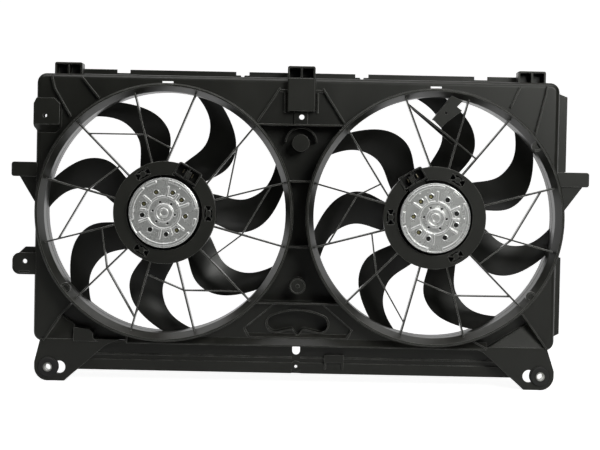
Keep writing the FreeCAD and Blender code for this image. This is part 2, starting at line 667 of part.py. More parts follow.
def lower_corners():
    """Walls, sloping faces and floors of the sunk corners, and the open-backed box on the left."""
    back = CORNER_FLOOR + PAN_WALL
    high = PAN_BOTTOM + 42
    slope = bar_along_x([(-CORNER_PROUD, PAN_BOTTOM), (CORNER_DROP, high), (CORNER_DROP + PAN_WALL, high),
                         (PAN_WALL - CORNER_PROUD, PAN_BOTTOM)], PAN_LEFT, PAN_RIGHT)
    front = bar_along_x([(-PAN_CORNER, PAN_BOTTOM), (-PAN_CORNER, high + 1), (CORNER_DROP + 1, high + 1),
                         (1 - CORNER_PROUD, PAN_BOTTOM)], PAN_LEFT, PAN_RIGHT)
    pieces = []
    for side in ("left", "right"):
        for line in CORNER_WALLS[side]:
            pieces.append(path_wall(corner_outline(side, line), RIB_WIDTH, -STRAP_RISE, back))
        outline = corner_outline(side, CORNER_FACES[side])
        edges = [wall(a, b, RIB_WIDTH, -PAN_CORNER, back).cut(front)
                 for a, b in zip(outline, outline[1:] + outline[:1])]
        floor = prism(corner_outline(side, CORNER_SPACES[side]), CORNER_FLOOR, back)
        pieces += [slope.common(prism(outline, -PAN_CORNER, back)), floor] + edges
    outline = corner_outline("left", CORNER_BOX)
    middle = corner_outline("left", [(81, 11)])[0]
    inner = [(x + PAN_WALL * (1 if x < middle[0] else -1), z + PAN_WALL * (1 if z < middle[1] else -1))
             for x, z in outline]
    pieces.append(prism(outline, -CORNER_BOX_PROUD, back).cut(
        prism(inner, PAN_WALL - CORNER_BOX_PROUD, back - PAN_WALL)))
    return [between_rings(piece) for piece in pieces]


def panel_foot():
    """Sloping lip along the panel's bottom edge, between the sunk corners."""
    ends = [corner_outline(side, CORNER_SPACES[side][3:4])[0][0] for side in ("left", "right")]
    low = PAN_BOTTOM
    section = [(PAN_EDGE, low), (-FOOT_REACH, low), (-FOOT_REACH, low + 2), (0, low + FOOT_HEIGHT),
               (1, low + FOOT_HEIGHT), (PAN_EDGE, low + PAN_WALL)]
    return between_rings(bar_along_x(section, ends[0], ends[1]))


def rail():
    """Beam under the pan, with its bead, step, slot, screw boss and clip seat."""
    back = RAIL_FRONT + RAIL_THICK
    step_front = RAIL_FRONT - 4
    x0, x1 = -RAIL_HALF, RAIL_HALF
    beam = block(x0, x1, RAIL_FRONT, back, RAIL_BOTTOM, PAN_BOTTOM)
    step = block(x0, x1, step_front, RAIL_FRONT, RAIL_BOTTOM, RAIL_BOTTOM + 17)
    bead_low = RAIL_BOTTOM + 24
    bead = block(x0, x1, RAIL_FRONT - RIB_WIDTH, RAIL_FRONT, bead_low, bead_low + RIB_WIDTH)
    gap_half = RAIL_SLOT_HALF + 1
    gap = block(RAIL_SLOT_X - gap_half, RAIL_SLOT_X + gap_half, step_front - 1, RAIL_FRONT,
                RAIL_BOTTOM - 1, PAN_BOTTOM - 1)
    lip = block(x0, x1, RAIL_FRONT, RAIL_FRONT + 18, RAIL_BOTTOM, RAIL_BOTTOM + RAIL_THICK)
    clip = block(CLIP_LEFT, CLIP_LEFT + CLIP_WIDTH, RAIL_FRONT - 9, back, RAIL_BOTTOM + 8, RAIL_BOTTOM + 31)
    clip = clip.cut(block(CLIP_LEFT + TAB_WALL, CLIP_LEFT + CLIP_WIDTH - TAB_WALL, RAIL_FRONT - 10,
                          RAIL_FRONT - 2, RAIL_BOTTOM + 7, RAIL_BOTTOM + 18))
    boss = rod(RAIL_SLOT_X, RAIL_HOLE_Z, RAIL_BOSS, step_front, back)
    solid = join([beam, step.cut(gap), bead.cut(gap), boss, lip, clip])
    slot_round = PAN_BOTTOM - 10
    slot = block(RAIL_SLOT_X - RAIL_SLOT_HALF, RAIL_SLOT_X + RAIL_SLOT_HALF, step_front - 1, back + 1,
                 slot_round, PAN_BOTTOM)
    slot = slot.fuse(rod(RAIL_SLOT_X, slot_round, RAIL_SLOT_HALF, step_front - 1, back + 1))
    return solid.cut(slot).cut(rod(RAIL_SLOT_X, RAIL_HOLE_Z, RAIL_HOLE, step_front - 1, back + 1))


def isolator_tabs():
    """Plates that hold the lower isolators, tied back to the rail by a folded edge."""
    pieces = []
    half = TAB_THICK / 2
    x = ISOLATOR_SPACING / 2
    reach = TAB_ROUND
    rail_back = RAIL_FRONT + RAIL_THICK
    for side, edge in ((-1, -PAN_LEFT), (1, PAN_RIGHT)):
        outline = [(edge - 12, PAN_BOTTOM + 5), (x + reach, 8), (x + reach, 0), (x, -reach + 0.5),
                   (x - 25, -reach + 0.5), (x - 47, -3), (x - 90, PAN_BOTTOM - 4), (x - 112, PAN_BOTTOM + 5)]
        plate = prism([(side * px, pz) for px, pz in outline], -half, half)
        plate = plate.fuse(rod(side * x, 0, reach, -half, half))
        folded = path_wall([(side * (x - 26), -reach + 2), (side * (x - 46), -1.5),
                            (side * (x - 88), PAN_BOTTOM - 3)], RIB_WIDTH, -half, rail_back)
        foot = wall((side * (x + 2), -reach + 1.5), (side * (x - 26), -reach + 1.5),
                    RIB_WIDTH, -half, half + 8)
        outer = wall((side * (edge - 13), PAN_BOTTOM + 4), (side * (x + reach - 1.5), 6),
                     RIB_WIDTH, -half, half + 8)
        pieces += [plate, folded, foot, outer]
    return pieces


def isolator_holes():
    """Seat for each isolator's neck, open to the keyhole beside it."""
    holes = []
    for side in (-1, 1):
        x = side * ISOLATOR_SPACING / 2
        holes.append(rod(x, 0, NECK_RADIUS, -TAB_THICK, TAB_THICK))
        holes.append(rod(x - side * KEYHOLE_INBOARD, 0, KEYHOLE_RADIUS, -TAB_THICK, TAB_THICK))
    return holes


def lower_rail():
    solid = join([rail()] + isolator_tabs())
    for hole in isolator_holes():
        solid = solid.cut(hole)
    return solid


def ring_slots():
    """Slots through the panel just above each ring."""
    z = FAN_Z + DUCT_RADIUS + SLOT_HEIGHT
    return [block(x - SLOT_WIDTH / 2, x + SLOT_WIDTH / 2, -1, PAN_WALL + 1,
                  z - SLOT_HEIGHT / 2, z + SLOT_HEIGHT / 2) for x in FAN_X.values()]


def shroud_housing(neighbours):
    """Panel with its tabs, flanges, ears and ribs, trimmed by the forms it meets."""
    shell = pan_block(0).cut(pan_block(PAN_WALL))
    for cut in duct_holes(DUCT_FRONT - 1, DUCT_BACK) + ring_slots() + corner_spaces() + [
            well_region(-1, PAN_WALL + 1), between_rings(recess_region(-1, PAN_WALL + 1))]:
        shell = shell.cut(cut)
    pieces = [shell] + centre_top() + [top_flange()] + side_flanges()
    pieces += [top_tab(left_tab_x()), top_tab(right_tab_x()), top_tab(FAN_MIDDLE_X - 1, front=0.0)]
    pieces += ears() + [box_bracket(), panel_foot()] + corner_straps() + lower_corners()
    housing = join(pieces)
    for cut in duct_holes(DUCT_FRONT - 1, DUCT_BACK) + [bracket_hole(), post_hole()] + neighbours:
        housing = housing.cut(cut)
    return housing


# Motor carriers

def spoke_layout(side):
    """Twelve spokes as (angle at the hub, angle at the ring), with the few that are set aside."""
    spokes = {angle: (angle, angle) for angle in range(15, 360, 30)}
    if side == "left":
        spokes[75] = (89, 75.8)
        spokes[45] = (35, 45)
    else:
        spokes[105] = (95, 105)
        spokes[135] = (157, 135)
        spokes[45] = (58, 53.6)
    return spokes


def spoke_line(side, angle):
    """Both ends of a spoke's middle line, inside the carrier's skirt and inside the ring's wall."""
    hub, ring = spoke_layout(side)[angle]
    return polar(FAN_X[side], CARRIER_OUTER - CARRIER_SKIRT, hub), polar(FAN_X[side], DUCT_RADIUS, ring)


def spoke_point(side, angle, share):
    """Point on a spoke at a share of the way from the carrier to the lip, as (x, z)."""
    start, end = spoke_line(side, angle)
    whole = DUCT_RADIUS - CARRIER_OUTER + CARRIER_SKIRT
    way = (CARRIER_SKIRT + share * (LIP_RADIUS - CARRIER_OUTER)) / whole
    return (start.x + way * (end.x - start.x), start.z + way * (end.z - start.z))


def link_layout(side):
    """Chains of thin links: spoke and place at each crossing, going clockwise and inwards."""
    chains = []
    starts = [135, 195, 255, 315, 15] if side == "left" else [15, 315, 255, 195]
    for start in starts:
        chains.append([(start, LINK_OUTER), ((start - 30) % 360, LINK_MIDDLE),
                       ((start - 60) % 360, LINK_INNER)])
    if side == "left":
        chains.append([(45, LINK_LATE), (15, LINK_INNER)])
    return chains


def at_hub(side, shape, degrees):
    """Turn a shape that was made on the +X side of a fan axis to its direction."""
    shape.rotate(vec(FAN_X[side], 0, FAN_Z), Y_AXIS, -degrees)
    return shape


def connector_window(side):
    x = FAN_X[side]
    half = CONNECTOR_WIDTH / 2 + SEAT_GAP
    cut = block(x + CARRIER_INNER - 2, x + CARRIER_OUTER + 3, CARRIER_FRONT - 1, CARRIER_BACK + 1,
                FAN_Z - half, FAN_Z + half)
    return at_hub(side, cut, CONNECTOR_ANGLE[side])


def screw_angles(side):
    return [SCREW_ANGLE[side] + 120 * step for step in range(3)]


def boss_pad(side, degrees, grow, y0, y1):
    """Block round a screw boss, larger than its pocket by a margin."""
    x = FAN_X[side] + SCREW_CIRCLE
    pad = block(x - CELL_OUT - grow, x + CELL_OUT + grow, y0, y1,
                FAN_Z - CELL_ALONG - grow, FAN_Z + CELL_ALONG + grow)
    return at_hub(side, pad, degrees)


def boss_ribs(side, degrees):
    """Two crossed ribs through a screw boss, from corner to corner of its pocket."""
    x = FAN_X[side] + SCREW_CIRCLE
    ribs = []
    for rise in (-CELL_ALONG, CELL_ALONG):
        rib = wall((x - CELL_OUT, FAN_Z - rise), (x + CELL_OUT, FAN_Z + rise),
                   CELL_RIB, CARRIER_FRONT, CARRIER_BACK)
        ribs.append(at_hub(side, rib, degrees))
    return ribs


def motor_carrier(side):
    """Flat ring round the motor with an outer and an inner skirt and three ribbed screw bosses."""
    x = FAN_X[side]
    plate_back = CARRIER_FRONT + CARRIER_PLATE
    rim = CARRIER_OUTER - CARRIER_SKIRT
    body = [tube(x, FAN_Z, CARRIER_OUTER, CARRIER_INNER, CARRIER_FRONT, plate_back),
            tube(x, FAN_Z, CARRIER_OUTER, rim, CARRIER_FRONT, CARRIER_BACK),
            tube(x, FAN_Z, CARRIER_INNER + CARRIER_SKIRT, CARRIER_INNER, CARRIER_FRONT, CARRIER_BACK - 8)]
    angles = screw_angles(side)
    pads = [boss_pad(side, degrees, CELL_WALL, CARRIER_FRONT, CARRIER_BACK) for degrees in angles]
    body = join(body + pads)
    for degrees in angles:
        body = body.cut(boss_pad(side, degrees, 0, CARRIER_FRONT - 1, CARRIER_BACK - CARRIER_PLATE))
    body = body.cut(connector_window(side))
    spots = [polar(x, SCREW_CIRCLE, degrees) for degrees in angles]
    bosses = [rod(spot.x, spot.z, SCREW_BOSS, CARRIER_FRONT - 1, CARRIER_BACK) for spot in spots]
    for degrees in angles:
        bosses += boss_ribs(side, degrees)
    body = join([body] + bosses)
    for spot in spots:
        body = body.cut(rod(spot.x, spot.z, SCREW_PILOT, CARRIER_BACK - SCREW_REACH - 3, CARRIER_BACK + 1))
    return body


def outside_carrier(side, shape):
    """Trim a bar by the carrier's skirt and by the bell mouth."""
    x = FAN_X[side]
    return shape.cut(rod(x, FAN_Z, CARRIER_OUTER, CARRIER_FRONT - 1, CARRIER_BACK + 1)).common(bore_solid(x))


def spokes(side):
    bars = []
    for angle in spoke_layout(side):
        start, end = spoke_line(side, angle)
        bar = wall((start.x, start.z), (end.x, end.z), SPOKE_WIDTH, SPOKE_FRONT, SPOKE_BACK)
        bars.append(outside_carrier(side, bar))
    return bars


def spoke_links(side, bars):
    """Thin links between neighbouring spokes, each cut off at the spokes it meets."""
    links = []
    for chain in link_layout(side):
        points = [spoke_point(side, angle, share) for angle, share in chain]
        for a, b in zip(points, points[1:]):
            links += wall(a, b, LINK_WIDTH, LINK_FRONT, LINK_BACK).cut(bars).Solids
    return links


def harness_bracket(bars):
    """Wide strap across three right spokes and the pierced plate that holds the wiring."""
    side = "right"
    x = FAN_X[side]

    def at(dx, dz):
        return (x + dx, FAN_Z + dz)

    start, middle, end = [spoke_point(side, angle, share)
                          for angle, share in ((105, 0.945), (75, 0.39), (45, 0.3))]
    face = [start, middle, (middle[0] - 6, middle[1] - 3), (start[0] + 9, start[1] - 10)]
    outline = [at(23, 191.5), at(40, 184), at(31, 174.5), at(39, 168.5), at(16, 150.5), at(7, 141),
               at(-6, 153.5)]
    plate = prism(outline, PLATE_FRONT, PLATE_FRONT + PLATE_THICK)
    hole_x, hole_z = at(14, 165)
    pieces = [wall(start, middle, LINK_WIDTH, LINK_FRONT, LINK_BACK),
              wall(middle, end, LINK_WIDTH, LINK_FRONT, LINK_BACK),
              prism(face, LINK_BACK - LINK_WIDTH, LINK_BACK),
              plate.cut(rod(hole_x, hole_z, LINK_WIDTH, PLATE_FRONT - 1, LINK_FRONT)),
              wall(outline[0], outline[-1], LINK_WIDTH, PLATE_FRONT, LINK_BACK)]
    return outside_carrier(side, join(pieces)).cut(bars).Solids


# Motors

def motor_yoke(side):
    """Drawn can with the rear bearing seat and three screw lugs."""
    x = FAN_X[side]
    seat = BEARING_RADIUS + SEAT_GAP
    inner = YOKE_RADIUS - YOKE_WALL
    floor = YOKE_BACK - YOKE_WALL
    front = CAP_FRONT + CAP_THICK + SEAT_GAP
    lip = YOKE_BACK - BEARING_LIP
    seat_front = floor - BEARING_WIDTH + 1
    can = turned([(inner, front), (YOKE_RADIUS, front), (YOKE_RADIUS, YOKE_BACK), (seat - 3, YOKE_BACK),
                  (seat - 3, lip), (seat, lip), (seat, seat_front), (seat + YOKE_WALL, seat_front),
                  (seat + YOKE_WALL, floor), (inner, floor)], x)
    lugs = []
    lug_front = CARRIER_BACK + SEAT_GAP
    lug_back = lug_front + YOKE_WALL
    for degrees in screw_angles(side):
        spot = polar(x, SCREW_CIRCLE, degrees)
        root = polar(x, YOKE_RADIUS - 1, degrees)
        lugs += [rod(spot.x, spot.z, SCREW_HEAD + 1.5, lug_front, lug_back),
                 wall((root.x, root.z), (spot.x, spot.z), 2 * SCREW_HEAD + 3, lug_front, lug_back)]
    can = join([can] + lugs)
    for degrees in screw_angles(side):
        spot = polar(x, SCREW_CIRCLE, degrees)
        can = can.cut(rod(spot.x, spot.z, SCREW_SHANK + 0.15, lug_front - 1, lug_back + 1))
    return can.cut(rod(x, FAN_Z, YOKE_RADIUS - YOKE_WALL, front - 1, floor - BEARING_WIDTH))


def vent_angles(side):
    """Directions of the vent holes, as seen on each motor."""
    if side == "left":
        return [112, 70, 39, 355, 307, 277, 232, 188, 156]
    return [101, 130, 177, 221, 251, 296, 341, 11, 56]


def cap_profile():
    """Half section of the stamped cap: dome, raised ring, groove, rolled rim, skirt and bearing seat."""
    front, back = CAP_FRONT, CAP_FRONT + CAP_THICK
    seat = BEARING_RADIUS + SEAT_GAP
    skirt = YOKE_RADIUS + 0.2
    dome = [(0, -3.0), (5.5, -3.0), (6.5, -2.2), (9.0, -2.2), (10.0, -1.2), (12.5, -1.2), (13.5, 0)]
    raised = [(CAP_RING - 2, 0), (CAP_RING - 1, -1.0), (CAP_RING + 1, -1.0), (CAP_RING + 2, 0)]
    rim = [(6.7, 0), (5.7, -0.8), (4.4, -0.8), (3.9, -0.2), (3.1, -0.2), (2.5, -1.2), (0.8, -1.2), (0, -0.4)]
    outside = [(radius, front + rise) for radius, rise in dome + raised]
    outside += [(CAP_RADIUS - inset, front + rise) for inset, rise in rim]
    return outside + [(CAP_RADIUS, back + 6), (skirt, back + 6), (skirt, back), (seat + 2, back),
                      (seat + 2, back + BEARING_WIDTH - 1), (seat, back + BEARING_WIDTH - 1),
                      (seat, back), (0, back)]


def motor_end_cap(side):
    """Stamped cap with vent holes, short stiffening ribs beside them and six small holes."""
    x = FAN_X[side]
    front, back = CAP_FRONT, CAP_FRONT + CAP_THICK
    ribs = []
    for degrees in vent_angles(side):
        a = polar(x, CAP_RING + 1.5, degrees + 20)
        b = polar(x, VENT_CIRCLE + 7, degrees + 16)
        ribs.append(wall((a.x, a.z), (b.x, b.z), VENT_RIB_WIDTH, front - 0.8, front + 0.5))
    cap = join([turned(cap_profile(), x)] + ribs)
    for degrees in vent_angles(side):
        spot = polar(x, VENT_CIRCLE, degrees)
        cap = cap.cut(rod(spot.x, spot.z, VENT_RADIUS, front - 2, back + 1))
    for step in range(6):
        spot = polar(x, CAP_RING - 7.5, 60 * step + 30)
        cap = cap.cut(rod(spot.x, spot.z, 1.4, front - 2, back + 1))
    return cap


def magnets(side):
    """Four arc magnets against the can's wall."""
    x = FAN_X[side]
    outer = YOKE_RADIUS - YOKE_WALL - SEAT_GAP
    solids = []
    for step in range(4):
        profile = [vec(x + outer - MAGNET_THICK, MAGNET_FRONT, FAN_Z), vec(x + outer, MAGNET_FRONT, FAN_Z),
                   vec(x + outer, MAGNET_BACK, FAN_Z), vec(x + outer - MAGNET_THICK, MAGNET_BACK, FAN_Z)]
        face = Part.Face(Part.makePolygon(profile + [profile[0]]))
        solid = face.revolve(vec(x, 0, FAN_Z), Y_AXIS, MAGNET_ARC)
        solids.append(at_hub(side, solid, 90 * step))
    return solids


def brush_plate(side):
    """Insulating disc behind the cap with a guide and a stop for each brush."""
    x = FAN_X[side]
    front = BRUSH_PLATE_FRONT
    back = front + BRUSH_PLATE_THICK
    disc = tube(x, FAN_Z, YOKE_RADIUS - YOKE_WALL - SEAT_GAP, BEARING_RADIUS + 5, front, back)
    guides = []
    gap = BRUSH_WIDTH / 2 + 0.1
    start, stop = COMMUTATOR_RADIUS + 6, brush_stop()
    for step in range(4):
        for along in (-1, 1):
            z0, z1 = sorted((FAN_Z + along * gap, FAN_Z + along * (gap + GUIDE_WALL)))
            guide = block(x + start, x + stop + GUIDE_WALL, back - 0.5, back + BRUSH_WIDTH, z0, z1)
            guides.append(at_hub(side, guide, 90 * step + 45))
        end = block(x + stop, x + stop + GUIDE_WALL, back - 0.5, back + BRUSH_WIDTH,
                    FAN_Z - gap - 1, FAN_Z + gap + 1)
        guides.append(at_hub(side, end, 90 * step + 45))
    return join([disc] + guides)


def brush_stop():
    return COMMUTATOR_RADIUS + BRUSH_GAP + BRUSH_LENGTH + SPRING_LENGTH + 2 * SEAT_GAP


def brushes(side):
    """Four carbon brushes that face the commutator."""
    x = FAN_X[side]
    back = BRUSH_PLATE_FRONT + BRUSH_PLATE_THICK
    start = COMMUTATOR_RADIUS + BRUSH_GAP
    half = BRUSH_WIDTH / 2
    return [at_hub(side, block(x + start, x + start + BRUSH_LENGTH, back + SEAT_GAP, back + BRUSH_WIDTH,
                               FAN_Z - half, FAN_Z + half), 90 * step + 45) for step in range(4)]


def brush_springs(side):
    """Compression springs between each brush and the end of its guide, as closed sleeves."""
    x = FAN_X[side]
    back = BRUSH_PLATE_FRONT + BRUSH_PLATE_THICK
    start = COMMUTATOR_RADIUS + BRUSH_GAP + BRUSH_LENGTH + SEAT_GAP
    middle = back + BRUSH_WIDTH / 2
    along_x = vec(1, 0, 0)
    solids = []
    for step in range(4):
        outer = Part.makeCylinder(SPRING_RADIUS, SPRING_LENGTH, vec(x + start, middle, FAN_Z), along_x)
        inner = Part.makeCylinder(SPRING_RADIUS - SPRING_WIRE, SPRING_LENGTH + 2,
                                  vec(x + start - 1, middle, FAN_Z), along_x)
        solids.append(at_hub(side, outer.cut(inner), 90 * step + 45))
    return solids


def bearing(side, y0):
    """Ball bearing as two races with balls between them."""
    x = FAN_X[side]
    bore = SHAFT_RADIUS + RUNNING_FIT
    race = BEARING_RACE
    inner = tube(x, FAN_Z, bore + race, bore, y0, y0 + BEARING_WIDTH)
    outer = tube(x, FAN_Z, BEARING_RADIUS, BEARING_RADIUS - race, y0, y0 + BEARING_WIDTH)
    web = tube(x, FAN_Z, BEARING_RADIUS - race, bore + race, y0 + 1, y0 + BEARING_WIDTH - 1)
    return join([inner, outer, web])


def connector(side):
    """Open plug receptacle that stands in the carrier's window, with a neck to the motor."""
    x = FAN_X[side]
    half = CONNECTOR_WIDTH / 2
    x0, x1 = x + CARRIER_INNER + 1, x + CARRIER_OUTER + 1.5
    y0, y1 = CARRIER_FRONT - 3, CARRIER_BACK - 2
    box = block(x0, x1, y0, y1, FAN_Z - half, FAN_Z + half)
    box = round_edges(box, 2.5, along_y)
    for low, high in ((-half + CONNECTOR_WALL, -1.0), (1.0, half - CONNECTOR_WALL)):
        box = box.cut(block(x0 + CONNECTOR_WALL, x1 - CONNECTOR_WALL, y0 - 1, y1 - CONNECTOR_WALL,
                            FAN_Z + low, FAN_Z + high))
    box = box.cut(block(x0 + 6, x1 + 1, y0 - 1, y0 + 6, FAN_Z - 5, FAN_Z + 5))
    neck = block(x + YOKE_RADIUS + SEAT_GAP, x0 + 1, CARRIER_BACK - 12, y1,
                 FAN_Z - half + 6, FAN_Z + half - 6)
    neck = neck.cut(rod(x, FAN_Z, YOKE_RADIUS + SEAT_GAP, CARRIER_BACK - 13, y1 + 1))
    return at_hub(side, box.fuse(neck).removeSplitter(), CONNECTOR_ANGLE[side])


def connector_terminals(side):
    """Two blade terminals on the receptacle's floor."""
    x = FAN_X[side]
    middle = (2 * x + CARRIER_INNER + CARRIER_OUTER + 2.5) / 2
    y1 = CARRIER_BACK - 2 - CONNECTOR_WALL - SEAT_GAP
    return [at_hub(side, block(middle - 3.2, middle + 3.2, y1 - 12, y1, FAN_Z + along * 8 - 0.4,
                               FAN_Z + along * 8 + 0.4), CONNECTOR_ANGLE[side]) for along in (-1, 1)]


def motor_screws(side):
    """Three screws that enter the carrier's bosses from the radiator side."""
    solids = []
    seat = CARRIER_BACK + SEAT_GAP + YOKE_WALL + SEAT_GAP
    for degrees in screw_angles(side):
        spot = polar(FAN_X[side], SCREW_CIRCLE, degrees)
        head = rod(spot.x, spot.z, SCREW_HEAD, seat, seat + SCREW_HEAD_HEIGHT)
        top = seat + SCREW_HEAD_HEIGHT
        head = head.cut(rod(spot.x, spot.z, SCREW_HEAD / 2, top - 2, top + 1))
        shank = rod(spot.x, spot.z, SCREW_SHANK, CARRIER_BACK - SCREW_REACH, seat)
        solids.append(head.fuse(shank).removeSplitter())
    return solids


# Rotors

def motor_shaft(side):
    x = FAN_X[side]
    return rod(x, FAN_Z, SHAFT_RADIUS, SHAFT_FRONT, SHAFT_BACK)


def core_radius():
    return YOKE_RADIUS - YOKE_WALL - SEAT_GAP - MAGNET_THICK - AIR_GAP


def slot_spots(side):
    return [polar(FAN_X[side], core_radius() - 10, 360 / CORE_SLOTS * step) for step in range(CORE_SLOTS)]


def armature_core(side):
    """Stack of laminations with round slots that open to the rim."""
    x = FAN_X[side]
    core = tube(x, FAN_Z, core_radius(), SHAFT_RADIUS + SEAT_GAP, CORE_FRONT, CORE_BACK)
    for step, spot in enumerate(slot_spots(side)):
        core = core.cut(rod(spot.x, spot.z, SLOT_RADIUS, CORE_FRONT - 1, CORE_BACK + 1))
        mouth = block(x + core_radius() - 9, x + core_radius() + 1, CORE_FRONT - 1, CORE_BACK + 1,
                      FAN_Z - 1.2, FAN_Z + 1.2)
        core = core.cut(at_hub(side, mouth, 360 / CORE_SLOTS * step))
    return core


def armature_windings(side):
    """Copper in the slots, joined by the end turns at both faces of the core."""
    x = FAN_X[side]
    spots = slot_spots(side)
    reach = core_radius() - 4
    ends = [tube(x, FAN_Z, reach, 16.0, CORE_FRONT - END_TURN, CORE_FRONT - SEAT_GAP),
            tube(x, FAN_Z, reach, 16.0, CORE_BACK + SEAT_GAP, CORE_BACK + END_TURN - 2)]
    bars = [rod(spot.x, spot.z, SLOT_RADIUS - 0.3, CORE_FRONT - 3, CORE_BACK + 3) for spot in spots]
    return join(ends + bars)


def commutator(side):
    """Copper segments parted by shallow grooves."""
    x = FAN_X[side]
    y1 = CORE_FRONT - END_TURN - SEAT_GAP
    y0 = y1 - COMMUTATOR_LENGTH
    ring = tube(x, FAN_Z, COMMUTATOR_RADIUS, SHAFT_RADIUS + SEAT_GAP, y0, y1)
    for step in range(CORE_SLOTS):
        groove = block(x + COMMUTATOR_RADIUS - 1, x + COMMUTATOR_RADIUS + 1, y0 - 1, y1 - 2,
                       FAN_Z - 0.3, FAN_Z + 0.3)
        ring = ring.cut(at_hub(side, groove, 360 / CORE_SLOTS * step + 15))
    return ring


def blade_section(side, phase, station, share):
    """Closed wire of a cambered section, square to the blade's middle direction at one radius."""
    way, low, high = station
    radius = HUB_RADIUS + way * (LIP_RADIUS - HUB_RADIUS)
    middle = phase + (low + high) / 2
    half = math.radians(high - low) / 2
    reach = radius * math.sin(half)
    front = BLADE_FRONT + 3.0 * share
    back = BLADE_BACK - 4.0 * share
    out = polar(0, 1, middle, centre_z=0)
    along = polar(0, 1, middle + 90, centre_z=0)
    centre = vec(FAN_X[side], 0, FAN_Z) + out * (radius * math.cos(half))

    def at(place, y):
        return centre + along * (place * reach) + vec(0, y, 0)

    def curve(offset):
        bow = BLADE_CAMBER * 2 * reach
        mid = (front + back) / 2
        rows = [(-1.0, front + offset * 0.3), (-0.5, (front + mid) / 2 + bow * 0.75 + offset * 0.9),
                (0.0, mid + bow + offset), (0.5, (mid + back) / 2 + bow * 0.75 + offset * 0.9),
                (1.0, back + offset * 0.3)]
        spline = Part.BSplineCurve()
        spline.interpolate([at(place, y) for place, y in rows])
        return spline.toShape()

    top = curve(-BLADE_THICK / 2)
    bottom = curve(BLADE_THICK / 2)
    ends = [Part.LineSegment(top.Vertexes[-1].Point, bottom.Vertexes[-1].Point).toShape(),
            Part.LineSegment(bottom.Vertexes[0].Point, top.Vertexes[0].Point).toShape()]
    return Part.Wire(Part.__sortEdges__([top, ends[0], bottom, ends[1]]))


def blade(side, phase):
    last = len(BLADE_STATIONS) - 1
    wires = [blade_section(side, phase, station, number / last)
             for number, station in enumerate(BLADE_STATIONS)]
    return Part.makeLoft(wires, True, False)


def fan(side):
    """Cup hub, seven swept blades and the ring that ties their tips."""
    x = FAN_X[side]
    ring_inner = LIP_RADIUS + FAN_RING_STEP
    ring_outer = ring_inner + FAN_RING_WALL
    hub_inner = HUB_RADIUS - HUB_WALL
    bore = SHAFT_RADIUS + SEAT_GAP
    ring = turned([(ring_inner, FAN_FRONT), (ring_outer, FAN_FRONT), (ring_outer, FAN_BACK - FAN_RING_FLARE),
                   (ring_outer + FAN_RING_FLARE, FAN_BACK), (ring_inner, FAN_BACK)], x)
    hub = turned([(bore, HUB_FACE - 12), (HUB_BOSS, HUB_FACE - 12), (HUB_BOSS, HUB_FACE),
                  (hub_inner - 4, HUB_FACE), (hub_inner, HUB_FACE - 4), (hub_inner, HUB_FRONT),
                  (HUB_RADIUS, HUB_FRONT), (HUB_RADIUS, HUB_FACE - 2),
                  (HUB_RADIUS - HUB_ROUND, HUB_FACE + HUB_WALL), (bore, HUB_FACE + HUB_WALL)], x)
    ribs = []
    for step in range(BLADES):
        a = polar(x, HUB_BOSS - 2, 360 / BLADES * step)
        b = polar(x, hub_inner + 1, 360 / BLADES * step)
        ribs.append(wall((a.x, a.z), (b.x, b.z), RIB_WIDTH, HUB_FACE - 9, HUB_FACE + 1))
    middle_wall = tube(x, FAN_Z, ring_inner + FAN_RING_WALL / 2, HUB_RADIUS - HUB_WALL / 2,
                       HUB_FRONT - 10, FAN_BACK + 10)
    first = blade(side, BLADE_PHASE[side]).common(middle_wall)
    blades = []
    for step in range(BLADES):
        one = first.copy()
        one.rotate(vec(x, 0, FAN_Z), Y_AXIS, 360 / BLADES * step)
        blades.append(one)
    return hub.multiFuse([ring] + ribs + blades).removeSplitter()


def fan_nut(side):
    """Hexagon nut that holds the hub on the shaft."""
    x = FAN_X[side]
    y0 = HUB_FACE + HUB_WALL + SEAT_GAP
    corners = [polar(x, NUT_RADIUS, 60 * step) for step in range(6)]
    nut = prism([(point.x, point.z) for point in corners], y0, y0 + NUT_LENGTH)
    return nut.cut(rod(x, FAN_Z, SHAFT_RADIUS + SEAT_GAP, y0 - 1, y0 + NUT_LENGTH + 1))


# Isolators

def isolator(side):
    """Rubber grommet whose two collars grip the tab."""
    x = {"left": -1, "right": 1}[side] * ISOLATOR_SPACING / 2
    half = TAB_THICK / 2 + SEAT_GAP
    neck = NECK_RADIUS - SEAT_GAP
    bore = SLEEVE_RADIUS + SEAT_GAP
    end = RUBBER_LENGTH / 2
    collar = RUBBER_RADIUS
    return turned([(bore, -end), (collar - 2, -end), (collar, -end + 2), (collar, -half), (neck, -half),
                   (neck, half), (collar, half), (collar, end - 2), (collar - 2, end), (bore, end)], x, 0)


def isolator_sleeve(side):
    x = {"left": -1, "right": 1}[side] * ISOLATOR_SPACING / 2
    half = SLEEVE_LENGTH / 2
    return tube(x, 0, SLEEVE_RADIUS, SLEEVE_BORE, -half, half)


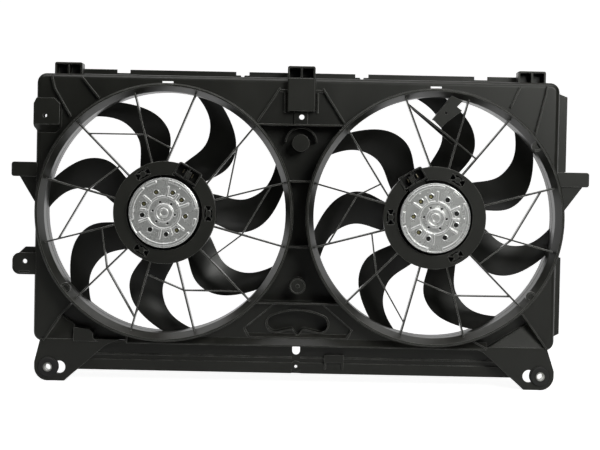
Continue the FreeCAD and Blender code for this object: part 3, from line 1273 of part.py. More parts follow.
rings = {side: duct_ring(side) for side in FAN_X}
well = centre_well()
tray = bottom_tray(well)
lower = lower_rail()
save("centre_well", [well])
save("bottom_tray", [tray])
save("lower_rail", [lower])
save("shroud_housing", [shroud_housing([well, tray, lower])])
for side in FAN_X:
    bars = spokes(side)
    save(side + "_duct_ring", [rings[side]])
    save(side + "_motor_carrier", [motor_carrier(side)])
    save(side + "_spokes", bars)
    save(side + "_spoke_links", spoke_links(side, bars))
    if side == "right":
        save("harness_bracket", harness_bracket(bars))
    save(side + "_isolator", [isolator(side)])
    save(side + "_isolator_sleeve", [isolator_sleeve(side)])
    save(side + "_motor_yoke", [motor_yoke(side)])
    save(side + "_motor_end_cap", [motor_end_cap(side)])
    save(side + "_magnets", magnets(side))
    save(side + "_brush_plate", [brush_plate(side)])
    save(side + "_brushes", brushes(side))
    save(side + "_brush_springs", brush_springs(side))
    save(side + "_front_bearing", [bearing(side, CAP_FRONT + CAP_THICK + SEAT_GAP)])
    save(side + "_rear_bearing", [bearing(side, YOKE_BACK - BEARING_LIP - SEAT_GAP - BEARING_WIDTH)])
    save(side + "_connector", [connector(side)])
    save(side + "_connector_terminals", connector_terminals(side))
    save(side + "_motor_screws", motor_screws(side))
    save(side + "_motor_shaft", [motor_shaft(side)])
    save(side + "_armature_core", [armature_core(side)])
    save(side + "_armature_windings", [armature_windings(side)])
    save(side + "_commutator", [commutator(side)])
    save(side + "_fan", [fan(side)])
    save(side + "_fan_nut", [fan_nut(side)])
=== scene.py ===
import json
import math

import bpy
from mathutils import Matrix, Vector


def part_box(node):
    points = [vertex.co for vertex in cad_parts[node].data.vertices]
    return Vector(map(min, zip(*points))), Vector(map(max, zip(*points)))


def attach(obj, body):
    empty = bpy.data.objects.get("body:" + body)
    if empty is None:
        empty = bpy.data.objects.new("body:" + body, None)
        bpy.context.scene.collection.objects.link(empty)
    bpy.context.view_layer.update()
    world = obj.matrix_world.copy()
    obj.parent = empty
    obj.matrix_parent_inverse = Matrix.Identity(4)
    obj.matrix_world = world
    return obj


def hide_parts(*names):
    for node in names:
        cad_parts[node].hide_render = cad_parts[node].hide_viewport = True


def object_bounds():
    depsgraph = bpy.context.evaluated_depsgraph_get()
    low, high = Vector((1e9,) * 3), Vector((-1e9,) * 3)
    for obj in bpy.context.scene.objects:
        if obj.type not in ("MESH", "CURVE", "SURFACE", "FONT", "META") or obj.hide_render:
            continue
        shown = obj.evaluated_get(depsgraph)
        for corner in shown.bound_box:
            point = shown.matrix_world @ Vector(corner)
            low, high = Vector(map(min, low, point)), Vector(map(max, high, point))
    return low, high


# Twin radiator fan, seen square on from the engine side. Lengths are metres unless a heading says millimetres.

MM = 0.001
SIDES = ("left", "right")
WHITE = (1.0, 1.0, 1.0)

# Camera
VIEW_TARGET = Vector((0.00507, 0.0, 0.2325))
VIEW_DISTANCE = 2.8
VIEW_ELEVATION = math.radians(1.8)
VIEW_ROLL = math.radians(1.15)
VIEW_LENS = 106.1
VIEW_CLIP = (0.05, 50.0)

# Softboxes: place, the point aimed at, width and height, watts, tint
KEY_SOFTBOX = ((1.05, -2.3, 1.15), (0.1, 0.0, 0.3), (0.9, 0.9), 21.0, (0.99, 1.0, 0.96))
FILL_SOFTBOX = ((-1.9, -1.9, 1.3), (0.0, 0.0, 0.25), (1.4, 1.4), 0.6, WHITE)
TOP_SOFTBOX = ((0.0, -0.55, 1.85), (0.0, 0.0, 0.2), (2.4, 0.7), 14.0, WHITE)

# Glow of the paper and of the room: as the camera sees it, as it lights the object and, for the paper
# behind the object, as the object mirrors it
PAPER_SEEN = 0.9
PAPER_GLOW = 0.06
PAPER_SHEEN = 0.9
SHEEN_START = 0.1
SHEEN_FULL = 0.4
ROOM_SEEN = 1.0
ROOM_GLOW = 0.025

# Paper sweep
SWEEP_HALF = 5.0
SWEEP_FRONT = -0.95
SWEEP_BACK = 3.3
SWEEP_TOP = 4.5
SWEEP_BEND = 1.0
SWEEP_STEPS = 16
PAPER_TONES = ((0.80, 0.80, 0.80), (0.84, 0.84, 0.835))
PAPER_FIBRES = 30.0
PAPER_ROUGHNESS = 0.9

# Moulded finishes: a range maps its first two numbers to its last two, or else to 0 and 1
GRAIN_SCALE = 900.0
GRAIN_CELLS = 0.6
GRAIN_SPECKS = 0.5
GRAIN_BUMP = 0.25
GRAIN_DEPTH = 0.0002
FLOW_SCALE = 9.0
FLOW_STRETCH = (1.0, 1.0, 0.45)
FLOW_RANGE = (0.3, 0.72)
# Edge lightening: partly rubbed wear, partly painted highlight
EDGE_RADIUS = 0.0008
EDGE_BREAKS = 60.0
EDGE_SAMPLES = 6
EDGE_RANGE = (0.992, 0.90)
EDGE_PATCHES = (0.36, 0.62, 0.35, 1.0)
DUST_AMOUNT = 0.25
DUST_SLOPE = (0.25, 1.0)
DUST_SCALE = 42.0
DUST_PATCHES = (0.35, 0.75, 0.3, 1.0)
DUST_COLOUR = (0.30, 0.29, 0.27)
DUST_DULLING = 0.3

# Metal finishes
ROLL_SCALE = 260.0
ROLL_STRETCH = (1.0, 1.0, 0.08)
ROLL_DEPTH = 0.0001
CLOUD_SCALE = 55.0
CLOUD_RANGE = (0.3, 0.7)
SCRATCH_TURN = (0.0, 0.7, 0.0)
SCRATCH_STRETCH = (1.0, 1.0, 0.03)
SCRATCH_SCALE = 420.0
SCRATCH_RANGE = (0.66, 0.74)
SCRATCH_SHARE = 0.35
SCRATCH_LIGHTER = 1.25
# Metal edges lighter, partly from wear and partly as painted highlight
EDGE_WEAR_AND_HIGHLIGHT_LIGHTER = 1.3
METAL_EDGE_RADIUS = 0.0005
METAL_EDGE_BREAKS = 140.0
# Metallic of the creases painted white as a highlight
CREASE_HIGHLIGHT_METAL = 0.1

# Stamped motor cap, in millimetres and in degrees up from +X as seen from the engine side
CAP_TURN = {"left": 20.5, "right": 86.0}
CAP_RADIUS = 54.7
CAP_SHEET = 1.2
CAP_SKIRT_DEPTH = 8.0
CAP_INSET = 3.0
CAP_SECTION = [(0, 2.2), (4.6, 2.2), (5.2, 3.1), (6.8, 3.1), (7.8, 1.6), (10.4, 1.5), (11.6, 2.3),
               (13.4, 2.3), (14.6, 0.7), (16.0, 0.3), (21.0, 0.0), (23.4, 0.1), (24.2, 1.3), (26.2, 1.3),
               (27.2, 0.0), (52.2, 0.0), (53.0, 0.5), (53.8, 0.3), (CAP_RADIUS, -0.9)]
CAP_LOWEST = -2.0
CAP_SPAN = 6.0
FULL_TURN = 360.0

# Its sheet: spokes, step between rings and the reach within which points are joined
CAP_SPOKES = 390
CAP_STEP = 0.56
JOIN_REACH = 0.002

# Its ribs: each row's offset, period and outer end
RIB_START = 26.5
RIB_ROWS = ((0.0, 60.0, 42.5), (31.5, 120.0, 38.0))
CAP_RIB_HALF = 2.1
CAP_RIB_HEIGHT = 1.8
RIB_SLOPE = 1.0

# Its vents, slots and dimples
VENT_CIRCLE = 34.0
VENT_RADIUS = 3.7
VENT_DEPTH = 4.5
VENT_OFFSETS = (16.3, 46.7, 91.0)
VENT_PERIOD = 120.0
VENT_WALL = 0.1
EYELET_HEIGHT = 0.5
EYELET_FLAT = 0.5
EYELET_END = 1.4
SLOT_CIRCLE = 17.6
SLOT_RADIUS = 1.9
SLOT_DEPTH = 2.5
SLOT_OFFSET = 30.0
SLOT_PERIOD = 60.0
DIMPLE_CIRCLE = 46.0
DIMPLE_RADIUS = 1.1
DIMPLE_DEPTH = 1.0
DIMPLE_OFFSET = 36.0
DIMPLE_PERIOD = 120.0
HOLE_EDGE_IN = 0.4
HOLE_EDGE_OUT = 0.3

# Its crimped rim: arcs in degrees, with the fade of their ends in radians
RIM_INNER = 47.8
RIM_OUTER = 51.6
RIM_HEIGHT = 1.8
RIM_FOOT = 0.5
RIM_SHOULDER = 0.3
RIM_ARCS = [(-12, 62), (84, 104), (110, 172), (198, 302), (318, 330)]
ARC_FADE = 0.014

# Its creases, painted white as a highlight by how level the sheet lies, and the brass seen in some vents:
# middle and half angle
CREASE_HIGHLIGHT = "crease_highlight"
CREASE_HIGHLIGHT_LEVELS = (0.75, 0.97)
BRASS_ARC = {"left": (52.0, 121.0), "right": (160.0, 76.0)}
BRASS_SHARE = 0.62

# Ribs between the two halves of each plug socket, in millimetres, on a foot sized in shares of one rib
SOCKET_ANGLE = {"left": 60.0, "right": 120.0}
SOCKET_RIBS = 5
SOCKET_RIB_PITCH = 1.9
SOCKET_RIB = (13.0, 7.0, 0.8)
SOCKET_FOOT = (1.0, 0.3, 11.0)
SOCKET_FOOT_DEPTH = 2.4


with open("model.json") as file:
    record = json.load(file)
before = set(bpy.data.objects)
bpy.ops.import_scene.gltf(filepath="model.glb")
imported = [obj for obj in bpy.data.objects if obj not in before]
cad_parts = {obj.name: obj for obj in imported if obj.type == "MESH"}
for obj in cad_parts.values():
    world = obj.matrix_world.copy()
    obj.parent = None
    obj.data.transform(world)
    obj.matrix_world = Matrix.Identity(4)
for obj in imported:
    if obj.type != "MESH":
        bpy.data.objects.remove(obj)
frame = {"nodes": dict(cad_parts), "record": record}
cad_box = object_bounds()
record = frame["record"]
nodes = frame["nodes"]


def slot_of():
    """Material slot of every CAD node."""
    return {part["node"]: part["material_slot"] for part in record["subparts"]}


# Shader helpers

def add_node(tree, kind, place=(0, 0), **settings):
    node = tree.nodes.new(kind)
    node.location = place
    for name, value in settings.items():
        setattr(node, name, value)
    return node


def link(tree, source, target):
    tree.links.new(source, target)


def group_with(name, inputs, outputs):
    """Empty shader node group with named sockets."""
    group = bpy.data.node_groups.new(name, "ShaderNodeTree")
    for label, kind, value in inputs:
        socket = group.interface.new_socket(name=label, in_out="INPUT", socket_type=kind)
        if value is not None:
            socket.default_value = value
    for label, kind in outputs:
        group.interface.new_socket(name=label, in_out="OUTPUT", socket_type=kind)
    return group, add_node(group, "NodeGroupInput", (-900, 0)), add_node(group, "NodeGroupOutput", (900, 0))


def math_node(tree, operation, first, second=None, place=(0, 0), clamp=False):
    node = add_node(tree, "ShaderNodeMath", place, operation=operation, use_clamp=clamp)
    for index, value in enumerate((first, second)):
        if value is None:
            continue
        if isinstance(value, (int, float)):
            node.inputs[index].default_value = value
        else:
            link(tree, value, node.inputs[index])
    return node.outputs[0]


def map_range(tree, value, low, high, to_low=0.0, to_high=1.0, place=(0, 0)):
    node = add_node(tree, "ShaderNodeMapRange", place)
    for index, number in enumerate((low, high, to_low, to_high), 1):
        if isinstance(number, (int, float)):
            node.inputs[index].default_value = number
        else:
            link(tree, number, node.inputs[index])
    link(tree, value, node.inputs[0])
    return node.outputs[0]


def noise(tree, coordinates, scale, detail=3.0, roughness=0.5, place=(0, 0)):
    node = add_node(tree, "ShaderNodeTexNoise", place)
    if isinstance(scale, (int, float)):
        node.inputs["Scale"].default_value = scale
    else:
        link(tree, scale, node.inputs["Scale"])
    node.inputs["Detail"].default_value = detail
    node.inputs["Roughness"].default_value = roughness
    link(tree, coordinates, node.inputs["Vector"])
    return node.outputs["Fac"]


def moulded_grain_group():
    """Fine spark-eroded grain of a mould, with slow flow marks under it."""
    group, given, result = group_with(
        "moulded_grain",
        [("Grain scale", "NodeSocketFloat", GRAIN_SCALE), ("Flow scale", "NodeSocketFloat", FLOW_SCALE)],
        [("Height", "NodeSocketFloat"), ("Tone", "NodeSocketFloat")])
    where = add_node(group, "ShaderNodeTexCoord", (-900, -300)).outputs["Object"]
    cells = add_node(group, "ShaderNodeTexVoronoi", (-500, 200), feature="F1")
    link(group, where, cells.inputs["Vector"])
    link(group, given.outputs["Grain scale"], cells.inputs["Scale"])
    fine = noise(group, where, given.outputs["Grain scale"], detail=4.0, roughness=0.6, place=(-500, -60))
    pits = math_node(group, "MULTIPLY", cells.outputs["Distance"], GRAIN_CELLS, (-250, 200))
    specks = math_node(group, "MULTIPLY", fine, GRAIN_SPECKS, (-250, 0))
    height = math_node(group, "ADD", pits, specks, (0, 120))
    stretch = add_node(group, "ShaderNodeMapping", (-700, -420))
    stretch.inputs["Scale"].default_value = FLOW_STRETCH
    link(group, where, stretch.inputs["Vector"])
    flow = noise(group, stretch.outputs["Vector"], given.outputs["Flow scale"], detail=6.0, roughness=0.62,
                 place=(-500, -420))
    tone = map_range(group, flow, *FLOW_RANGE, place=(-200, -420))
    link(group, height, result.inputs["Height"])
    link(group, tone, result.inputs["Tone"])
    return group


def edge_wear_group():
    """Mask of outer edges, lightened partly as rubbed wear and partly as painted highlight, broken up along
    their length, and the softened normal.
    """
    group, given, result = group_with(
        "edge_wear",
        [("Radius", "NodeSocketFloat", EDGE_RADIUS), ("Break scale", "NodeSocketFloat", EDGE_BREAKS)],
        [("Mask", "NodeSocketFloat"), ("Normal", "NodeSocketVector")])
    soft = add_node(group, "ShaderNodeBevel", (-600, 100), samples=EDGE_SAMPLES)
    link(group, given.outputs["Radius"], soft.inputs["Radius"])
    surface = add_node(group, "ShaderNodeNewGeometry", (-600, -200))
    match = add_node(group, "ShaderNodeVectorMath", (-350, 0), operation="DOT_PRODUCT")
    link(group, soft.outputs["Normal"], match.inputs[0])
    link(group, surface.outputs["Normal"], match.inputs[1])
    away = map_range(group, match.outputs["Value"], *EDGE_RANGE, place=(-120, 0))
    where = add_node(group, "ShaderNodeTexCoord", (-900, -420)).outputs["Object"]
    patches = noise(group, where, given.outputs["Break scale"], detail=3.0, roughness=0.6,
                    place=(-350, -420))
    broken = map_range(group, patches, *EDGE_PATCHES, place=(-120, -420))
    link(group, math_node(group, "MULTIPLY", away, broken, (150, -100), clamp=True), result.inputs["Mask"])
    link(group, soft.outputs["Normal"], result.inputs["Normal"])
    return group


def settled_dust_group():
    """Thin dust on faces that look up, thicker in patches."""
    group, given, result = group_with(
        "settled_dust", [("Amount", "NodeSocketFloat", DUST_AMOUNT)], [("Mask", "NodeSocketFloat")])
    surface = add_node(group, "ShaderNodeNewGeometry", (-700, 100))
    parts = add_node(group, "ShaderNodeSeparateXYZ", (-500, 100))
    link(group, surface.outputs["Normal"], parts.inputs["Vector"])
    up = map_range(group, parts.outputs["Z"], *DUST_SLOPE, place=(-250, 100))
    where = add_node(group, "ShaderNodeTexCoord", (-900, -300)).outputs["Object"]
    spread = noise(group, where, DUST_SCALE, detail=5.0, roughness=0.65, place=(-600, -300))
    patches = map_range(group, spread, *DUST_PATCHES, place=(-250, -300))
    amount = math_node(group, "MULTIPLY", math_node(group, "MULTIPLY", up, patches, (0, 0)),
                       given.outputs["Amount"], (250, 0), clamp=True)
    link(group, amount, result.inputs["Mask"])
    return group


def rolled_metal_group():
    """Rolling marks, zinc clouding and small handling scratches on sheet metal."""
    group, given, result = group_with(
        "rolled_metal",
        [("Mark scale", "NodeSocketFloat", ROLL_SCALE), ("Cloud scale", "NodeSocketFloat", CLOUD_SCALE)],
        [("Height", "NodeSocketFloat"), ("Cloud", "NodeSocketFloat"), ("Scratch", "NodeSocketFloat")])
    where = add_node(group, "ShaderNodeTexCoord", (-1100, 0)).outputs["Object"]
    stretch = add_node(group, "ShaderNodeMapping", (-850, 200))
    stretch.inputs["Scale"].default_value = ROLL_STRETCH
    link(group, where, stretch.inputs["Vector"])
    marks = noise(group, stretch.outputs["Vector"], given.outputs["Mark scale"], detail=3.0, roughness=0.55,
                  place=(-600, 200))
    clouds = noise(group, where, given.outputs["Cloud scale"], detail=4.0, roughness=0.6, place=(-600, -60))
    turned = add_node(group, "ShaderNodeMapping", (-850, -360))
    turned.inputs["Rotation"].default_value = SCRATCH_TURN
    turned.inputs["Scale"].default_value = SCRATCH_STRETCH
    link(group, where, turned.inputs["Vector"])
    lines = noise(group, turned.outputs["Vector"], SCRATCH_SCALE, detail=2.0, roughness=0.5,
                  place=(-600, -360))
    link(group, marks, result.inputs["Height"])
    link(group, map_range(group, clouds, *CLOUD_RANGE, place=(-300, -60)), result.inputs["Cloud"])
    link(group, map_range(group, lines, *SCRATCH_RANGE, place=(-300, -360)), result.inputs["Scratch"])
    return group


GRAIN = moulded_grain_group()
EDGE_WEAR_AND_HIGHLIGHT = edge_wear_group()
DUST = settled_dust_group()
ROLLED = rolled_metal_group()


def use_group(tree, group, place, **values):
    node = add_node(tree, "ShaderNodeGroup", place, node_tree=group)
    for label, value in values.items():
        node.inputs[label.replace("_", " ").capitalize()].default_value = value
    return node


def mix_colour(tree, factor, first, second, place):
    """Blend two colours, each a value triple or an output."""
    node = add_node(tree, "ShaderNodeMix", place, data_type="RGBA")
    link(tree, factor, node.inputs["Factor"])
    for socket, value in ((node.inputs[6], first), (node.inputs[7], second)):
        if isinstance(value, tuple):
            socket.default_value = value + (1.0,)
        else:
            link(tree, value, socket)
    return node.outputs[2]


def new_material(name):
    """Empty material with its Principled shader and output."""
    material = bpy.data.materials.new(name)
    material.use_nodes = True
    tree = material.node_tree
    tree.nodes.clear()
    shader = add_node(tree, "ShaderNodeBsdfPrincipled", (700, 0))
    surface = add_node(tree, "ShaderNodeOutputMaterial", (1000, 0))
    link(tree, shader.outputs["BSDF"], surface.inputs["Surface"])
    return material, tree, shader


def moulded(name, colour, flow_colour, edge_wear_and_highlight_colour, rough=(0.34, 0.48), grain=1.0, grain_scale=GRAIN_SCALE,
            edge=EDGE_RADIUS, dust=DUST_AMOUNT, specular=0.5):
    """Moulded plastic or rubber: grain, flow marks, edges lighter partly from rubbing and partly as painted
    highlight, and a little dust.
    """
    material, tree, shader = new_material(name)
    texture = use_group(tree, GRAIN, (-700, 100), grain_scale=grain_scale)
    rubbed_and_lit_edges = use_group(tree, EDGE_WEAR_AND_HIGHLIGHT, (-700, -200), radius=edge)
    dusty = use_group(tree, DUST, (-700, -450), amount=dust)
    base = mix_colour(tree, texture.outputs["Tone"], colour, flow_colour, (-350, 200))
    base = mix_colour(tree, dusty.outputs["Mask"], base, DUST_COLOUR, (-100, 200))
    # Edges lightened partly as rubbed wear and partly as painted highlight
    base = mix_colour(tree, rubbed_and_lit_edges.outputs["Mask"], base, edge_wear_and_highlight_colour, (150, 200))
    link(tree, base, shader.inputs["Base Color"])
    gloss = map_range(tree, texture.outputs["Tone"], 0.0, 1.0, rough[0], rough[1], (-100, -100))
    dull = math_node(tree, "MULTIPLY", dusty.outputs["Mask"], DUST_DULLING, (0, -350))
    link(tree, math_node(tree, "ADD", gloss, dull, (200, -100), clamp=True), shader.inputs["Roughness"])
    bump = add_node(tree, "ShaderNodeBump", (400, -300))
    bump.inputs["Strength"].default_value = GRAIN_BUMP * grain
    bump.inputs["Distance"].default_value = GRAIN_DEPTH
    link(tree, texture.outputs["Height"], bump.inputs["Height"])
    link(tree, rubbed_and_lit_edges.outputs["Normal"], bump.inputs["Normal"])
    link(tree, bump.outputs["Normal"], shader.inputs["Normal"])
    shader.inputs["Specular IOR Level"].default_value = specular
    return material


def lighter(colour, factor):
    return tuple(min(1.0, share * factor) for share in colour)


def sheet_metal(name, colour, dark_colour, rough=(0.2, 0.42), edge_wear_and_highlight_colour=None, mark_scale=ROLL_SCALE,
                bump_strength=0.12, metal=1.0, crease_highlight=None):
    """Bare or plated metal with rolling marks, clouding, scratches, edges lighter partly from wear and partly
    as painted highlight, and creases painted white as highlight.
    """
    material, tree, shader = new_material(name)
    sheet = use_group(tree, ROLLED, (-700, 100), mark_scale=mark_scale)
    rubbed_and_lit_edges = use_group(tree, EDGE_WEAR_AND_HIGHLIGHT, (-700, -250), radius=METAL_EDGE_RADIUS, break_scale=METAL_EDGE_BREAKS)
    base = mix_colour(tree, sheet.outputs["Cloud"], dark_colour, colour, (-350, 200))
    scratched = math_node(tree, "MULTIPLY", sheet.outputs["Scratch"], SCRATCH_SHARE, (-350, 0))
    base = mix_colour(tree, scratched, base, lighter(colour, SCRATCH_LIGHTER), (-100, 200))
    # Edges lightened partly as wear and partly as painted highlight
    edge_wear_and_highlight_colour = edge_wear_and_highlight_colour or lighter(colour, EDGE_WEAR_AND_HIGHLIGHT_LIGHTER)
    base = mix_colour(tree, rubbed_and_lit_edges.outputs["Mask"], base, edge_wear_and_highlight_colour, (150, 200))
    shader.inputs["Metallic"].default_value = metal
    # Painted highlight: steep creases mixed towards white and made less metallic
    if crease_highlight:
        pressed = add_node(tree, "ShaderNodeAttribute", (-100, 450), attribute_name=crease_highlight).outputs["Fac"]
        base = mix_colour(tree, pressed, base, WHITE, (350, 350))
        shine = map_range(tree, pressed, 0.0, 1.0, metal, CREASE_HIGHLIGHT_METAL, (350, 600))
        link(tree, shine, shader.inputs["Metallic"])
    link(tree, base, shader.inputs["Base Color"])
    gloss = map_range(tree, sheet.outputs["Cloud"], 0.0, 1.0, rough[1], rough[0], (-100, -100))
    link(tree, gloss, shader.inputs["Roughness"])
    bump = add_node(tree, "ShaderNodeBump", (400, -300))
    bump.inputs["Strength"].default_value = bump_strength
    bump.inputs["Distance"].default_value = ROLL_DEPTH
    link(tree, sheet.outputs["Height"], bump.inputs["Height"])
    link(tree, rubbed_and_lit_edges.outputs["Normal"], bump.inputs["Normal"])
    link(tree, bump.outputs["Normal"], shader.inputs["Normal"])
    return material


def make_materials():
    """One finish per slot of the record, a painted-sheen lighter copy for the thin bars, and brass and painted
    shade for the vents.
    """
    return {
        # Lighter copy of the shroud plastic: its lighter base and edge colours are a painted sheen on the
        # spokes
        "thin_bar_sheen_plastic": moulded(
            "bar_plastic_painted_sheen", (0.040, 0.040, 0.037), (0.055, 0.055, 0.051), (0.48, 0.48, 0.46),
            rough=(0.18, 0.28), edge=0.0014),
        "black_shroud_plastic": moulded(
            "shroud_plastic", (0.016, 0.0165, 0.0135), (0.027, 0.0275, 0.023), (0.34, 0.34, 0.32),
            rough=(0.30, 0.42), edge=0.0010),
        "black_fan_plastic": moulded(
            "fan_plastic", (0.008, 0.0082, 0.0066), (0.013, 0.0132, 0.011), (0.12, 0.12, 0.11),
            rough=(0.30, 0.42), grain=0.6, dust=0.12),
        "black_connector_plastic": moulded(
            "connector_plastic", (0.012, 0.012, 0.0105), (0.018, 0.018, 0.016), (0.26, 0.26, 0.24),
            rough=(0.30, 0.40), grain=0.5, dust=0.12),
        "black_rubber": moulded(
            "isolator_rubber", (0.020, 0.020, 0.020), (0.032, 0.032, 0.031), (0.07, 0.07, 0.068),
            rough=(0.50, 0.70), grain=1.4, grain_scale=1400.0, edge=0.0012, specular=0.35),
        "stamped_cap_steel": sheet_metal(
            "cap_steel", (0.90, 0.91, 0.90), (0.74, 0.75, 0.74), rough=(0.20, 0.32),
            edge_wear_and_highlight_colour=WHITE, metal=0.6, crease_highlight=CREASE_HIGHLIGHT),
        "motor_can_steel": moulded(
            "can_coat", (0.016, 0.016, 0.017), (0.026, 0.026, 0.027), (0.22, 0.22, 0.22),
            rough=(0.28, 0.42), grain=0.4, edge=0.0006),
        "zinc_steel": sheet_metal("zinc_plating", (0.60, 0.60, 0.57), (0.42, 0.42, 0.40), rough=(0.26, 0.45)),
        "shaft_steel": sheet_metal("ground_shaft", (0.58, 0.58, 0.58), (0.48, 0.48, 0.48), rough=(0.16, 0.28),
                                   mark_scale=600.0),
        "bearing_steel": sheet_metal("bearing_steel_finish", (0.68, 0.68, 0.68), (0.58, 0.58, 0.58),
                                     rough=(0.10, 0.20), mark_scale=700.0),
        "spring_steel": sheet_metal("spring_wire", (0.46, 0.46, 0.46), (0.34, 0.34, 0.34)),
        "lamination_steel": sheet_metal("lamination_stack", (0.32, 0.32, 0.33), (0.20, 0.20, 0.21),
                                        rough=(0.34, 0.52), mark_scale=1800.0, bump_strength=0.5),
        "copper_wire": sheet_metal("enamelled_copper", (0.56, 0.22, 0.09), (0.36, 0.12, 0.05),
                                   rough=(0.22, 0.36), mark_scale=1500.0, bump_strength=0.6),
        "commutator_copper": sheet_metal("commutator_bars", (0.66, 0.34, 0.19), (0.42, 0.22, 0.12),
                                         mark_scale=900.0),
        "tinned_brass": sheet_metal("tinned_terminals", (0.66, 0.60, 0.44), (0.52, 0.46, 0.32)),
        "ferrite": moulded("magnet_ferrite", (0.03, 0.03, 0.032), (0.05, 0.05, 0.052), (0.12, 0.12, 0.12),
                           rough=(0.45, 0.62), grain=0.8, dust=0.0),
        "brown_insulator": moulded("insulating_board", (0.14, 0.065, 0.03), (0.20, 0.10, 0.05),
                                   (0.32, 0.19, 0.11), rough=(0.45, 0.6), dust=0.0),
        "carbon": moulded("carbon_brush", (0.02, 0.02, 0.02), (0.035, 0.035, 0.036), (0.10, 0.10, 0.10),
                          rough=(0.42, 0.6), grain=1.5, dust=0.0),
        "vent_brass": sheet_metal("vent_brass", (0.46, 0.43, 0.22), (0.20, 0.18, 0.09), rough=(0.35, 0.5)),
        "vent_shadow": moulded("vent_shadow", (0.004, 0.004, 0.004), (0.008, 0.008, 0.007),
                               (0.02, 0.02, 0.02), dust=0.0),
    }


def dress_nodes(materials):
    """Give every CAD node the finish of its slot, and the spokes and their links the thin bars' lighter copy,
    whose lightness is painted sheen.
    """
    for name, slot in slot_of().items():
        if name.endswith(("_spokes", "_spoke_links")):
            slot = "thin_bar_sheen_plastic"
        for place in nodes[name].material_slots:
            place.material = materials[slot]


# Pieces grown by Geometry Nodes

def geometry_tree(name, inputs):
    """Empty tree with named inputs and one geometry output."""
    tree = bpy.data.node_groups.new(name, "GeometryNodeTree")
    for label, kind, value in inputs:
        socket = tree.interface.new_socket(name=label, in_out="INPUT", socket_type=kind)
        if value is not None:
            socket.default_value = value
    tree.interface.new_socket(name="Geometry", in_out="OUTPUT", socket_type="NodeSocketGeometry")
    return tree, add_node(tree, "NodeGroupInput", (-2600, 0)), add_node(tree, "NodeGroupOutput", (2600, 0))


def grown(name, tree, sizes):
    """Object that a tree grows, with its named sizes set before it is first worked out."""
    piece = bpy.data.objects.new(name, bpy.data.meshes.new(name))
    maker = piece.modifiers.new("maker", "NODES")
    maker.node_group = tree
    for item in tree.interface.items_tree:
        if item.item_type == "SOCKET" and item.in_out == "INPUT":
            maker[item.identifier] = sizes[item.name]
    bpy.context.scene.collection.objects.link(piece)
    return piece


def finish_tree(tree, result, geometry, dressings):
    """Realize the instances and set the materials, each but the first on a chosen part."""
    last = add_node(tree, "GeometryNodeRealizeInstances", (1700, 0))
    link(tree, geometry, last.inputs[0])
    for number, (material, chosen) in enumerate(dressings):
        paint = add_node(tree, "GeometryNodeSetMaterial", (1900 + 180 * number, 0))
        link(tree, last.outputs[0], paint.inputs["Geometry"])
        paint.inputs["Material"].default_value = material
        if chosen is not None:
            link(tree, chosen, paint.inputs["Selection"])
        last = paint
    link(tree, last.outputs[0], result.inputs[0])


def soft_step(tree, value, low, high, to_low=0.0, to_high=1.0):
    out = map_range(tree, value, low, high, to_low, to_high)
    out.node.interpolation_type = "SMOOTHSTEP"
    return out


def folded(tree, angle, start, period):
    """Direction within one of several equal sectors, measured from the sector's middle, in radians."""
    wrap = add_node(tree, "ShaderNodeMath", operation="WRAP")
    link(tree, math_node(tree, "SUBTRACT", angle, start), wrap.inputs[0])
    wrap.inputs[1].default_value = math.radians(period) / 2
    wrap.inputs[2].default_value = -math.radians(period) / 2
    return wrap.outputs[0]


def along_across(tree, radius, angle):
    """Place along and across a sector's middle line."""
    return (math_node(tree, "MULTIPLY", radius, math_node(tree, "COSINE", angle)),
            math_node(tree, "MULTIPLY", radius, math_node(tree, "SINE", angle)))


def distance(tree, first, second):
    squares = [math_node(tree, "MULTIPLY", value, value) for value in (first, second)]
    return math_node(tree, "SQRT", math_node(tree, "ADD", squares[0], squares[1]))


def turned_by(tree, turn, degrees):
    """Start of a sector: the cap's turn and a fixed offset."""
    return math_node(tree, "ADD", turn, math.radians(degrees))


def rib_field(tree, radius, angle, turn, row, half, height):
    """Height of one row of stiffening ribs that repeat round the cap, with round ends."""
    offset, period, end = row
    along, across = along_across(tree, radius, folded(tree, angle, turned_by(tree, turn, offset), period))
    inner = math_node(tree, "SUBTRACT", RIB_START, along)
    outer = math_node(tree, "SUBTRACT", along, math_node(tree, "SUBTRACT", end, half))
    past = math_node(tree, "MAXIMUM", math_node(tree, "MAXIMUM", inner, outer), 0.0)
    off = distance(tree, across, past)
    core = math_node(tree, "SUBTRACT", half, RIB_SLOPE)
    return math_node(tree, "MULTIPLY", height, soft_step(tree, off, core, half, 1.0, 0.0))


def rim_field(tree, radius, angle, turn, height):
    """Height of the crimped rim, which is broken into arcs."""
    arcs = []
    for low, high in RIM_ARCS:
        middle = turned_by(tree, turn, (low + high) / 2)
        off = math_node(tree, "ABSOLUTE", folded(tree, angle, middle, FULL_TURN))
        half = math.radians(high - low) / 2
        arcs.append(soft_step(tree, off, half - ARC_FADE, half + ARC_FADE, 1.0, 0.0))
    rise = soft_step(tree, radius, RIM_INNER - RIM_FOOT, RIM_INNER + RIM_SHOULDER)
    fall = soft_step(tree, radius, RIM_OUTER - RIM_SHOULDER, RIM_OUTER + RIM_FOOT, 1.0, 0.0)
    rim = math_node(tree, "MULTIPLY", math_node(tree, "MULTIPLY", rise, fall), height)
    return math_node(tree, "MULTIPLY", rim, reduced(tree, "MAXIMUM", arcs))


def hole_distance(tree, radius, angle, turn, offset, period, circle):
    """Distance from the nearest of the holes that repeat round the cap."""
    along, across = along_across(tree, radius, folded(tree, angle, turned_by(tree, turn, offset), period))
    return distance(tree, math_node(tree, "SUBTRACT", along, circle), across)


